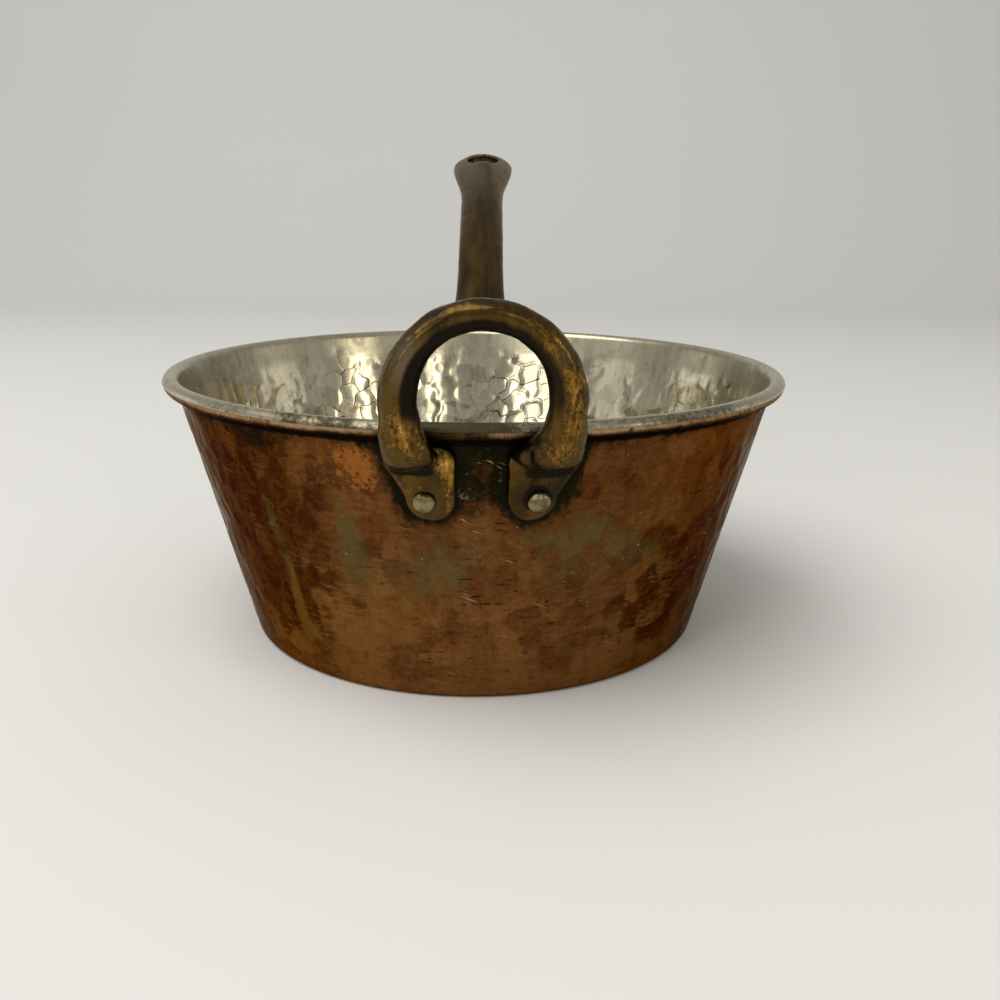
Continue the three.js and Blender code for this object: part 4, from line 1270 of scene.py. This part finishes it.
def lug_outline():
    """Outline of a lug, across and up: round inner shoulder, round toe under the rivet, slanting heel and an
    upright outer edge with a round corner. The toe is a quarter of one oval and a quarter of another."""
    inner = LUG_RIVET - LUG_INNER
    toe = LUG_RIVET - LUG_TOE
    heel = LUG_RIVET + LUG_HEEL
    outer = LUG_RIVET + LUG_OUTER
    bend = (outer, PLATE_TOP - LUG_OUTER_HEIGHT)
    shoulder = arc((inner + LUG_SHOULDER, PLATE_TOP - LUG_SHOULDER), LUG_SHOULDER, math.pi / 2, math.pi, 16)
    angle = np.linspace(math.pi, 1.5 * math.pi, 24)[:, None]
    toe_in = np.hstack([toe + (toe - inner) * np.cos(angle), LUG_RIVET_UP + LUG_BOTTOM * np.sin(angle)])
    angle = np.linspace(1.5 * math.pi, 2 * math.pi, 24)[:, None]
    toe_out = np.hstack([toe + (heel - toe) * np.cos(angle), LUG_RIVET_UP + LUG_BOTTOM * np.sin(angle)])
    side_in = straight(shoulder[-1], toe_in[0], 20)
    corner = arc((outer - LUG_CORNER, PLATE_TOP - LUG_CORNER), LUG_CORNER, 0, math.pi / 2, 16)
    side_out = straight(toe_out[-1], bend, 30)
    upright = straight(bend, corner[0], 6)
    top_edge = straight(corner[-1], shoulder[0], 20)
    return np.concatenate([shoulder, side_in, toe_in, toe_out, side_out, upright, corner, top_edge])


def loop_mesh():
    """The helper loop: an oval bar, flat at its necks, widest at its feet and slim at the top, cast in one
    with two lugs that are bent to the wall. On the right a web runs from the leg's inner side to its lug."""
    across = np.array([1.0, 0, 0])
    line = loop_line()
    level = line[:, 2]
    width = mix(LOOP_FOOT_WIDTH, LOOP_WIDTH, ease(level, LOOP_NECK_UP, LOOP_ARCH))
    width = mix(width, LOOP_TOP, ease(level, LOOP_ARCH, level.max()))
    depth = mix(LOOP_NECK, LOOP_DEPTH, ease(level, LOOP_NECK_UP, LOOP_ARCH))
    ridge = LOOP_RIDGE * ease(level, RIDGE_FROM, LOOP_ARCH) * ease(line[:, 0], *RIDGE_ENDS)
    bar = swept(line, across, width / 2, depth / 2, depth / 2, BAR_SIDES, ridge)
    web_width, web_depth = (np.linspace(*ends, WEB_STEPS) for ends in (WEB_WIDTH, WEB_DEPTH))
    web = swept(curve(WEB_KNOTS, WEB_STEPS), across, web_width, web_depth, web_depth, BAR_SIDES)
    sides = [np.array([side, 1]) for side in (1, -1)]
    lugs = [bent_plate(lug_outline() * side, LUG_MIDDLE * side, PLATE) for side in sides]
    mesh = cast("helper_loop", [bar, web, *lugs], LOOP_GRAIN, LOOP_FILLETS, LOOP_UNEVEN)
    points = places(mesh)
    paint_loop(mesh, points)
    move_to(mesh, turned(points, LOOP_TURN))
    return mesh


def paint_loop(mesh, points):
    """Says where the loop is rubbed to gold, where dirt sits, where shade is painted under its feet and
    inside its arch, and where a grey sheen is painted as a highlight on its upper arch. Left and right are
    seen from the front, so the loop's own x counts backwards. Lengths are in mm."""
    side, out, level = np.moveaxis(points, -1, 0) / MM
    side = -side
    offset = np.hypot(side, out) - wall_radius(points[:, 2]) / MM
    slant = side + 22 + (level - 100) * 0.35
    scrape = 0.4 * bell(slant, 1.1) * spot(side, level, -20, 99, 9, 8)
    wear = ease(out, 122, 126) * (patched(side, level, LOOP_FRONT_WEAR) + scrape)
    wear += patched(side, level, LOOP_WEAR) + 0.12 * ease(level, 118, 136) * ease(side, -4, 14)
    # Painted shadow under the loop's feet, on the lugs.
    beneath = ease(level, 84, 86.5) * (1 - ease(level, 89, 91.5)) * (1 - ease(offset, 3.8, 7.5))
    on_lug = 1 - ease(out, 118, 121)
    ring = np.hypot(np.abs(side) - LUG_RIVET / MM, level - LUG_RIVET_UP / MM) - RIVET_HEAD / MM
    half_span, arch = LOOP_HALF_SPAN / MM, LOOP_ARCH / MM
    inward = half_span - np.where(level > arch, np.hypot(side, level - arch), np.abs(side))
    crevice = 0.9 * (1 - ease(offset, 0.4, 2.0))
    # Painted shadow under the feet, added to the dark.
    crevice += 1.3 * beneath * np.exp(-((np.abs(side) - 21) / 7) ** 4)
    crevice += on_lug * (0.62 * spot(side, level, 17, 80, 11, 10) + 0.5 * bell(ring, 0.7))
    # Painted shade along the inner side of the arch, lighter on the right.
    crevice += 1.05 * ease(inward, -1.6, 2.6) * ease(level, 95, 113) * mix(1.0, 0.7, ease(side, -4, 16))
    # Painted highlight: a grey sheen on the upper arch.
    grey = 0.1 + patched(side, level, LOOP_GREY)
    paint(mesh, wear=wear, crevice=crevice, grey=grey, streak=np.full(len(points), 0.1))
    paint_vectors(mesh, "flow", points[:, [0, 2, 1]])


def handle_root_height():
    """Height where the long handle's middle line leaves the wall, so that its crown clears the bead."""
    radius, height = BEAD_CENTRE
    cosine, sine = math.cos(HANDLE_ROOT_SLOPE), math.sin(HANDLE_ROOT_SLOPE)
    clearance = TINNED_RADIUS + HANDLE_RIM_GAP + HANDLE_CROWN
    level = height * cosine - (radius - BASE_RADIUS) * sine - clearance
    return level / (cosine - math.tan(WALL_SLOPE) * sine)


def arch_point(distance):
    """Places on the long handle's arch, a circle whose slope falls evenly from the wall to the tip."""
    slope = HANDLE_ROOT_SLOPE - distance / ARCH_RADIUS
    root = handle_root_height()
    y = wall_radius(root) + ARCH_RADIUS * (math.sin(HANDLE_ROOT_SLOPE) - np.sin(slope))
    z = root + ARCH_RADIUS * (np.cos(slope) - math.cos(HANDLE_ROOT_SLOPE))
    return np.stack([0 * y, y, z], axis=-1)


def arch_place(points):
    """How far points lie along the long handle's arch, and how far above its middle line."""
    root = handle_root_height()
    y = points[:, 1] - wall_radius(root) - ARCH_RADIUS * math.sin(HANDLE_ROOT_SLOPE)
    z = points[:, 2] - root + ARCH_RADIUS * math.cos(HANDLE_ROOT_SLOPE)
    return (np.arctan2(y, z) + HANDLE_ROOT_SLOPE) * ARCH_RADIUS, np.hypot(y, z) - ARCH_RADIUS


def flange_outline():
    """Outline of the flange, across and up: wide shoulders, drawn in to a tongue round the lower rivet."""
    half = FLANGE_WIDTH / 2
    shoulder = (FLANGE_TOP / 2, PLATE_TOP)
    rivet = (half, PLATE_TOP - FLANGE_RIVET_DROP)
    lower = PLATE_TOP - FLANGE_LOWER_DROP
    waist = PLATE_TOP - FLANGE_WAIST_DROP
    corner = curve([shoulder, (half, PLATE_TOP), rivet], FLANGE_STEPS)
    side = curve([rivet, (half, waist), (FLANGE_TONGUE, waist), (FLANGE_TONGUE, lower)], FLANGE_STEPS)
    tongue = arc((0, lower), FLANGE_TONGUE, 0, -math.pi / 2, 24)
    right = np.concatenate([straight((0, PLATE_TOP), shoulder, 20), corner, side[1:], tongue[1:]])
    return np.concatenate([right, right[-2::-1] * (-1, 1)])


def handle_mesh():
    """The long handle: an oval along an arch, swelling below at the wall and widening to a round eye with
    a hole, cast in one with a flange that is bent to the wall. Its crown runs up to the lip of the hole."""
    across = np.array([1.0, 0, 0])
    shaft = np.linspace(-HANDLE_INSIDE, EYE_CENTRE, SHAFT_STEPS)
    tip = np.linspace(0, math.pi / 2, TIP_STEPS)[1:-1]
    root = 1 - ease(shaft, 0, HANDLE_ROOT_REACH)
    eye = ease(shaft, EYE_CENTRE - EYE_FLARE, EYE_CENTRE)
    width = mix(mix(HANDLE_WIDTH, HANDLE_ROOT_WIDTH, root), EYE_DIAMETER, eye)
    crown = mix(HANDLE_CROWN, EYE_CROWN, eye)
    belly = mix(mix(HANDLE_BELLY, HANDLE_ROOT_BELLY, root), EYE_BELLY, eye)
    fall = np.sqrt(np.cos(tip))
    distance = np.concatenate([shaft, EYE_CENTRE + EYE_DIAMETER / 2 * np.sin(tip)])
    width = np.concatenate([width, EYE_DIAMETER * np.cos(tip)])
    crown = np.concatenate([crown, EYE_CROWN * fall])
    belly = np.concatenate([belly, EYE_BELLY * fall])
    points, faces = swept(arch_point(distance), -across, width / 2, crown, belly, SHAFT_SIDES)
    points[:, 1] = np.maximum(points[:, 1], on_wall(points[:, 0], points[:, 2], PLATE_GAP + PLATE / 4))
    flange = bent_plate(flange_outline(), FLANGE_MIDDLE, PLATE)
    middle = arch_point(np.array(EYE_CENTRE))
    slope = HANDLE_ROOT_SLOPE - EYE_CENTRE / ARCH_RADIUS
    normal = np.array([0, -math.sin(slope), math.cos(slope)])
    reach = np.linspace(-EYE_DIAMETER / 2, EYE_DIAMETER / 2, 5)[:, None]
    hole = np.full(len(reach), HANG_HOLE)
    drill = swept(middle + reach * normal, across, hole, hole, hole, SHAFT_SIDES)
    shells = [(points, faces), flange]
    mesh = cast("arched_handle", shells, HANDLE_GRAIN, HANDLE_FILLETS, HANDLE_UNEVEN, drill)
    points = places(mesh)
    points += lip_height(points)[:, None] * normal
    move_to(mesh, points)
    paint_handle(mesh, points, middle)
    return mesh


def lip_height(points):
    """Height of the low ramp before the hang hole: a bell curve across, and along the arch a bell curve that
    is long before its top and short behind it."""
    along, rise = arch_place(points)
    behind = along - EYE_CENTRE + HANG_HOLE + LIP_GAP
    ramp = np.where(behind < 0, bell(behind, LIP_RAMP), bell(behind, LIP_FALL))
    return LIP_HEIGHT * ramp * bell(points[:, 0], LIP_WIDTH) * (rise > 0)


def paint_handle(mesh, points, eye):
    """Says where the long handle is rubbed, streaked, greyed and dirty, by the way along its arch."""
    along, rise = arch_place(points)
    side = points[:, 0] / MM
    rim = bell(np.linalg.norm(points - eye, axis=1) - HANG_HOLE, 2.2 * MM)
    beyond = ease(points[:, 1], eye[1], eye[1] + 6 * MM)
    offset = np.hypot(points[:, 0], points[:, 1]) - wall_radius(points[:, 2])
    near = offset < 12 * MM
    wear = 0.5 * rim * beyond + 0.14 * bell(np.abs(side) - 11, 2)
    wear += np.where(near, 0.25 * ease(offset, 1.5 * MM, 4 * MM), 0)
    crevice = np.where(near, 0.9 * (1 - ease(offset, 0.4 * MM, 2.2 * MM)), 0) + 0.5 * rim * (1 - beyond)
    grey = 0.75 * ease(along, 120 * MM, 190 * MM) + 0.25 * bell(side - 12, 3)
    paint(mesh, wear=wear, crevice=crevice, grey=grey, streak=0.6 * bell(side - 4, 4.5) + 0.22)
    paint_vectors(mesh, "flow", np.stack([points[:, 0], along, rise], axis=-1))


def sweep_mesh():
    """Stage: a floor that rises behind in a wide bend to a backdrop, a profile carried along X."""
    front, back, bend, top, half = -3.0, 1.3, 0.7, 2.6, 3.0
    angle = np.linspace(0, math.pi / 2, 24)
    y = np.concatenate([[front], back + bend * np.sin(angle), [back + bend]])
    z = np.concatenate([[0], bend * (1 - np.cos(angle)), [top]])
    x = np.array([-half, half])
    grid = np.stack(np.broadcast_arrays(x[:, None], y, z), axis=-1)
    count = len(y)
    step = np.arange(count - 1)
    faces = np.stack([step, step + count, step + count + 1, step + 1], axis=-1)
    return new_mesh("pale_sweep", grid.reshape(-1, 3), [faces])


def add_lamp(name, power, place, aim, wide, tall, colour):
    """A soft rectangular lamp that faces a point."""
    lamp = bpy.data.lights.new(name, "AREA")
    lamp.shape = "RECTANGLE"
    lamp.size = wide
    lamp.size_y = tall
    lamp.energy = power
    lamp.color = colour
    holder = bpy.data.objects.new(name, lamp)
    holder.location = place
    holder.rotation_euler = (Vector(aim) - Vector(place)).to_track_quat("-Z", "Y").to_euler()
    bpy.context.scene.collection.objects.link(holder)


def add_world(strength):
    """Plain, even light from all round."""
    world = bpy.data.worlds.new("plain_surroundings")
    world.use_nodes = True
    shade = world.node_tree.nodes["Background"]
    shade.inputs["Color"].default_value = WORLD_COLOUR
    shade.inputs["Strength"].default_value = strength
    bpy.context.scene.world = world


def add_camera(settings):
    """Camera at the photographed angle: looks along +Y, pitched down, turned and rolled a little."""
    lens = bpy.data.cameras.new("camera")
    lens.sensor_width = SENSOR_WIDTH
    lens.lens = settings.lens
    camera = bpy.data.objects.new("camera", lens)
    upright = Matrix.Rotation(math.pi / 2 - settings.pitch, 4, "X")
    heading = Matrix.Rotation(-settings.heading, 4, "Z")
    roll = Matrix.Rotation(settings.roll, 4, "Z")
    camera.matrix_world = Matrix.Translation(settings.place) @ heading @ upright @ roll
    bpy.context.scene.collection.objects.link(camera)
    bpy.context.scene.camera = camera


class SAUCEPAN_OT_bowl(bpy.types.Operator):
    """Build the hammered copper bowl"""

    bl_idname = "saucepan.bowl"
    bl_label = "Copper bowl"

    def execute(self, context):
        mesh = bowl_mesh(context.scene.saucepan_hammer)
        add_piece("hammered_bowl", mesh, copper_look(context.scene.saucepan_copper), "copper", "pan_body")
        return {"FINISHED"}


class SAUCEPAN_OT_lining(bpy.types.Operator):
    """Build the tin inside and dress the wire in the rim"""

    bl_idname = "saucepan.lining"
    bl_label = "Tin lining and rim wire"

    def execute(self, context):
        mesh = lining_mesh(context.scene.saucepan_hammer)
        add_piece("tinned_inside", mesh, tin_look(context.scene.saucepan_tin), "tin", "tin_lining")
        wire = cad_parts["rim_wire"].data
        wire.materials.clear()
        wire.materials.append(wire_look())
        return {"FINISHED"}


class SAUCEPAN_OT_handles(bpy.types.Operator):
    """Build the helper loop and the long handle"""

    bl_idname = "saucepan.handles"
    bl_label = "Cast handles"

    def execute(self, context):
        brass = brass_look(context.scene.saucepan_brass)
        add_piece("helper_loop", loop_mesh(), brass, "cast_brass", "loop_handle")
        add_piece("arched_handle", handle_mesh(), brass, "cast_brass", "long_handle")
        return {"FINISHED"}


class SAUCEPAN_OT_rivets(bpy.types.Operator):
    """Build the rivets of both handles"""

    bl_idname = "saucepan.rivets"
    bl_label = "Rivets"

    def execute(self, context):
        brass = rivet_look(context.scene.saucepan_brass, context.scene.saucepan_tin)
        upper = PLATE_TOP - FLANGE_RIVET_DROP
        lower = PLATE_TOP - FLANGE_LOWER_DROP
        seats = {
            "loop_rivet_left": (LUG_RIVET, LUG_RIVET_UP, LOOP_TURN),
            "loop_rivet_right": (-LUG_RIVET, LUG_RIVET_UP, LOOP_TURN),
            "handle_rivet_left": (-FLANGE_RIVET, upper, 0.0),
            "handle_rivet_right": (FLANGE_RIVET, upper, 0.0),
            "handle_rivet_lower": (0.0, lower, 0.0),
        }
        for number, (node, seat) in enumerate(seats.items()):
            mesh = rivet_mesh(f"hammered_{node}", *seat, seed=RIVET_SEED + len(RIVET_DENTS) * number)
            add_piece(f"hammered_{node}", mesh, brass, "rivet_brass", node)
        return {"FINISHED"}


class SAUCEPAN_OT_stage(bpy.types.Operator):
    """Build the floor, the lamps and the camera"""

    bl_idname = "saucepan.stage"
    bl_label = "Stage"

    def execute(self, context):
        settings = context.scene.saucepan_stage
        mesh = sweep_mesh()
        mesh.materials.append(floor_look(settings.floor))
        mesh.polygons.foreach_set("use_smooth", np.ones(len(mesh.polygons), bool))
        floor = bpy.data.objects.new("pale_sweep", mesh)
        context.scene.collection.objects.link(floor)
        add_lamp("overhead", settings.key, *OVERHEAD)
        for name, (place, wide, share, colour) in PANELS.items():
            add_lamp(name, settings.panel * share, place, PANEL_AIM, wide, PANEL_HEIGHT, colour)
        add_world(settings.world)
        add_camera(settings)
        context.scene.view_settings.view_transform = "Standard"
        return {"FINISHED"}


class SAUCEPAN_PT_panel(bpy.types.Panel):
    """Lists the steps that build the saucepan"""

    bl_idname = "SAUCEPAN_PT_panel"
    bl_label = "Hammered copper saucepan"
    bl_space_type = "VIEW_3D"
    bl_region_type = "UI"
    bl_category = "Saucepan"

    def draw(self, context):
        for operator in OPERATORS:
            self.layout.operator(operator.bl_idname)


OPERATORS = (
    SAUCEPAN_OT_bowl,
    SAUCEPAN_OT_lining,
    SAUCEPAN_OT_handles,
    SAUCEPAN_OT_rivets,
    SAUCEPAN_OT_stage,
)
SETTINGS = {
    "saucepan_hammer": HammerSettings,
    "saucepan_copper": CopperColours,
    "saucepan_tin": TinColours,
    "saucepan_brass": BrassColours,
    "saucepan_stage": StageSettings,
}
CLASSES = (*SETTINGS.values(), *OPERATORS, SAUCEPAN_PT_panel)


def register():
    for item in CLASSES:
        bpy.utils.register_class(item)
    for name, group in SETTINGS.items():
        setattr(bpy.types.Scene, name, PointerProperty(type=group))


def unregister():
    for name in SETTINGS:
        delattr(bpy.types.Scene, name)
    for item in reversed(CLASSES):
        bpy.utils.unregister_class(item)


def main():
    register()
    bpy.ops.saucepan.bowl()
    bpy.ops.saucepan.lining()
    bpy.ops.saucepan.handles()
    bpy.ops.saucepan.rivets()
    bpy.ops.saucepan.stage()


if __name__ == "__main__":
    main()
